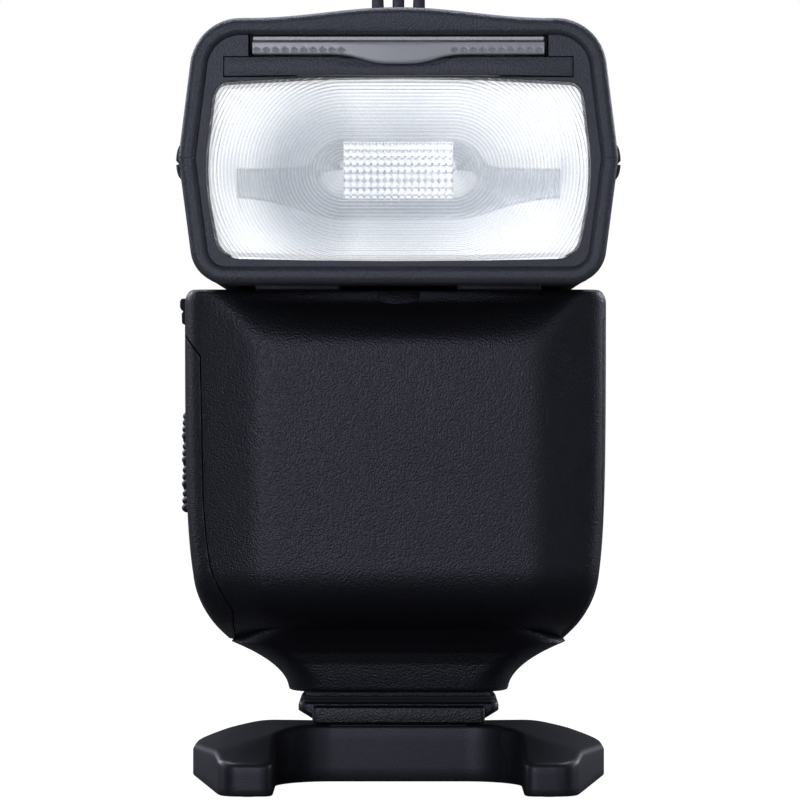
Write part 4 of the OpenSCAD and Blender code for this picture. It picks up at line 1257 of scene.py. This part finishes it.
def makeReflector():
    # a parabolic trough open at the front, its wall 0.8 thick, with flat cheeks at its two ends
    v = np.linspace(-1, 1, 61)
    centre, end, cheek = lens["centre"], reflector["end"], reflector["cheek"]
    inner = np.stack([-32.2 - 15.8 * v ** 2, centre + reflector["half"] * v], -1)
    outer = np.stack([-31 - 17 * v ** 2, centre + reflector["outerHalf"] * v], -1)
    piece = prism("reflector", np.vstack([outer, inner[::-1]]), -end, end, "x")
    ends = [[[reflector["rear"], centre + side * reflector["half"]]] for side in (1, -1)]
    cheeks = [prism("cheek", np.vstack([ends[0], inner[::-1], ends[1]]), a, b, "x")
              for a, b in ((-end, -cheek), (cheek, end))]
    carve(piece, cheeks, "UNION")
    place(piece, finishes["reflector_metal"], "reflector", angle=30)

    # a plated frame between the trough and the lens goes from the lens's outline back to a smaller one
    loops = []
    for y, share, grow in reflector["frame"]:
        flat = lensOutline(grow - 0.6)
        small = np.stack([np.clip(flat[:, 0] * 0.84, -26.4 - grow, 26.4 + grow),
                          centre + (flat[:, 1] - centre) * 0.87], -1)
        flat = flat * (1 - share) + small * share
        loops.append(np.stack([flat[:, 0], np.full(len(flat), y), flat[:, 1]], -1))
    frameRing = sleeve("lensFrame", np.array(loops + loops[:1]))
    smooth(frameRing, 30)
    frameRing.data.materials.append(finishes["reflector_metal"])
    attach(frameRing, "head")

    tube = turned("flashTube", [(0.9, -27), (1.6, -26.8), (1.9, -26.2), (1.9, 26.2), (1.6, 26.8), (0.9, 27)],
                  (0, -36, centre), "x", 64)
    place(tube, finishes["tube_glass"], "flash_tube", angle=40)


def domed(node, centre, radius, start, end, dish=0.0):
    # a round key along Y with a rounded rim and a face that is dished by dish
    rim = 0.45
    turn = np.linspace(0, math.pi / 2, 7)
    edge = [(radius - rim + rim * math.cos(a), end - rim + rim * math.sin(a)) for a in turn]
    share = np.linspace(1, 0.05, 9)[1:]
    face = [((radius - rim) * s, end - dish * (1 - s ** 2)) for s in share]
    piece = turned(node + "_fine", [(radius, start)] + edge + face, centre, "y", 72)
    place(piece, finishes[nodeSlot[node]], node, angle=40)


knurls = {"count": 36, "height": 0.32, "sink": 0.34}


def makeControls():
    # the dial is a ring with a knurled rim; the keys are turned domes or rounded copies of their CAD shapes
    low, high = nodeBox("select_dial")
    z = (low[2] + high[2]) / 2
    outer = (high[0] - low[0]) / 2

    rings = np.array([(4.5, 31.2), (outer - 0.2, 31.2), (outer, 31.5), (outer, 33.1), (outer - 0.25, 33.45),
                      (outer - 0.9, 33.6), (outer - 1.2, 33.35), (5.6, 33.35), (5.2, 33.6), (4.5, 33.6),
                      (4.5, 31.2)])
    angle = np.arange(288) * tau / 288
    # rounded ribs round the rim and none elsewhere
    rib = knurls["height"] * np.abs(np.sin(angle[None] * knurls["count"] / 2)) ** 0.7
    radius = np.repeat(rings[:, :1], 288, 1)
    radius = radius - np.where(radius > outer - 0.8, knurls["sink"] - rib, 0)
    loops = np.stack([radius * np.cos(angle), np.repeat(rings[:, 1:], 288, 1), z + radius * np.sin(angle)], -1)
    dial = sleeve("selectDial", loops)
    place(dial, finishes["dark_plastic"], "select_dial", angle=35)
    domed("set_button", (0, 0, z), 4.1, 27.4, 33.8, 0.5)
    for node in ("menu_button", "mode_button", "test_button"):
        low, high = nodeBox(node)
        domed(node, ((low[0] + high[0]) / 2, 0, (low[2] + high[2]) / 2), 2.5, 27.4, 32.1, -0.35)
    for number in (1, 2, 3, 4):
        refined("soft_key_%d" % number, finishes["button_plastic"], 0.45, 40, 3)
    refined("power_switch", finishes["button_plastic"], 0.35, 40, 3)
    refined("display_bezel", finishes["dark_plastic"], 0.5, 40, 4)
    refined("display_window", finishes["window_clear"], 0.15, 40, 2)
    refined("display_panel", finishes["display_face"], 0.1, 40, 1)


def makeFlap():
    # the cover's outline in X and Z has two bumps, and it is carried along Y with round ends
    low, high = nodeBox("terminal_cover")
    outline = [(low[0] + 0.75, low[2]), (low[0] + 0.35, low[2] + 0.25), (low[0] + 0.3, low[2] + 2.1),
               (low[0] + 0.65, low[2] + 2.35), (low[0] + 0.2, low[2] + 2.7), (low[0], low[2] + 3.1),
               (low[0], high[2] - 0.5), (low[0] + 0.3, high[2]), (high[0], high[2]), (high[0], low[2])]
    flap = prism("terminalCover", outline, low[1], high[1], "y")
    edgeRound(flap, 0.22, 25, 3)
    place(flap, finishes[nodeSlot["terminal_cover"]], "terminal_cover", angle=40)
    socket = turned("syncSocket", [(0.9, -33), (0.9, -37.0), (1.0, -37.3), (1.55, -37.3), (1.7, -37.1), (1.7, -31)],
                    (0, -17.5, 85.2), "x", 48)
    place(socket, finishes[nodeSlot["sync_socket"]], "sync_socket", angle=40)


tripod = {"bore": 3.175, "cut": 0.28, "turns": 40}


def makeBush():
    # a profile turned into a ring, with the turns of a tripod thread as rings in its bore
    bore, turns = tripod["bore"], tripod["turns"]
    thread = np.stack([bore - tripod["cut"] * (np.arange(turns) % 2), np.linspace(0.3, 5.9, turns)], -1)
    rings = np.vstack([[[4.45, 6.0], [4.5, 5.8], [4.5, 0.25], [4.3, 0.02], [bore + 0.4, 0.02]], thread,
                       [[bore, 6.0], [4.45, 6.0]]])
    angle = np.arange(96) * tau / 96
    loops = np.stack([rings[:, :1] * np.cos(angle), rings[:, :1] * np.sin(angle), np.repeat(rings[:, 1:], 96, 1)], -1)
    bush = sleeve("tripodBush", loops)
    place(bush, finishes["brass"], "tripod_bush", angle=30)


screw = {"radius": 1.35, "thread": 0.15, "plain": 1.2}


def makeScrew():
    # the lead screw's thread is a profile of even rings on a plain shaft
    low, high = nodeBox("lead_screw")
    x, z = (low[0] + high[0]) / 2, (low[2] + high[2]) / 2
    y = np.arange(-51, -11, 0.25)
    rings = np.stack([screw["radius"] + screw["thread"] * np.cos((y + 51) * tau), y], -1)
    plain = screw["plain"]
    profile = np.vstack([[[0.9, low[1]], [plain, low[1] + 0.3], [plain, -51.2]], rings,
                         [[plain, -10.9], [plain, high[1] - 0.2], [1.0, high[1]]]])
    place(turned("leadScrew", profile, (x, 0, z), "y", 40), finishes["steel"], "lead_screw", angle=40)


cell = {"radius": 7.2}


def makeCells():
    # four cells along X: a jacket rolled over at both ends, a flat base and a raised cap, in one mesh
    low, high = nodeBox("battery_cells")
    r = cell["radius"]
    start, end = low[0], high[0]
    profile = np.array([(0.3, start), (r - 0.9, start), (r - 0.3, start + 0.15), (r - 0.04, start + 0.6),
                        (r - 0.04, end - 1.2), (r - 0.3, end - 0.75), (r - 0.9, end - 0.6), (2.9, end - 0.6),
                        (2.75, end - 0.15), (2.5, end), (0.3, end)])
    angle = np.arange(64) * tau / 64
    radius = profile[:, :1]
    ring = np.stack([np.repeat(profile[:, 1:], 64, 1), radius * np.cos(angle), radius * np.sin(angle)], -1)
    points, faces = [], []
    for number, (y, z) in enumerate((y, z) for y in (low[1] + r, high[1] - r) for z in (low[2] + r, high[2] - r)):
        spot, spotFaces = skin(ring + np.array([0, y, z]))
        points.append(spot)
        faces += [[i + number * len(spot) for i in face] for face in spotFaces]
    place(meshObject("batteryCells", np.vstack(points), faces), finishes["cell_jacket"], "battery_cells", angle=40)


# how wide the rounding is on each node that keeps its CAD shape
widths = {"stand_pads": 0.15, "shoe_foot": 0.18, "shoe_contacts": 0.08, "foot_screws": 0.06, "lock_lever": 0.35,
          "lock_pin": 0.25, "door_hinge_leaf": 0.15, "door_hinge_pin": 0.2, "door_contacts": 0.1,
          "battery_box": 0.3, "end_contacts": 0.1, "main_capacitor": 0.8, "main_board": 0.08, "key_board": 0.08,
          "case_screws": 0.12, "swivel_bearing": 0.15, "swivel_clip": 0.12, "tilt_axle": 0.3,
          "zoom_carriage": 0.3, "guide_rod": 0.2, "zoom_motor": 0.4, "tilt_button": 0.5}


def makeRest():
    # every other node: its CAD shape with rounded edges, and its finish on the CAD mesh itself
    for node, width in widths.items():
        refined(node, finishes[nodeSlot[node]], width, 38, 2)
    for node, item in frame["nodes"].items():
        item.data.materials.clear()
        item.data.materials.append(finishes[nodeSlot[node]])
    print("CAD nodes given a finish:", len(frame["nodes"]))


makeReflector()
makeControls()
makeFlap()
makeBush()
makeScrew()
makeCells()
makeRest()
print("reflector, controls, small metal and internals")
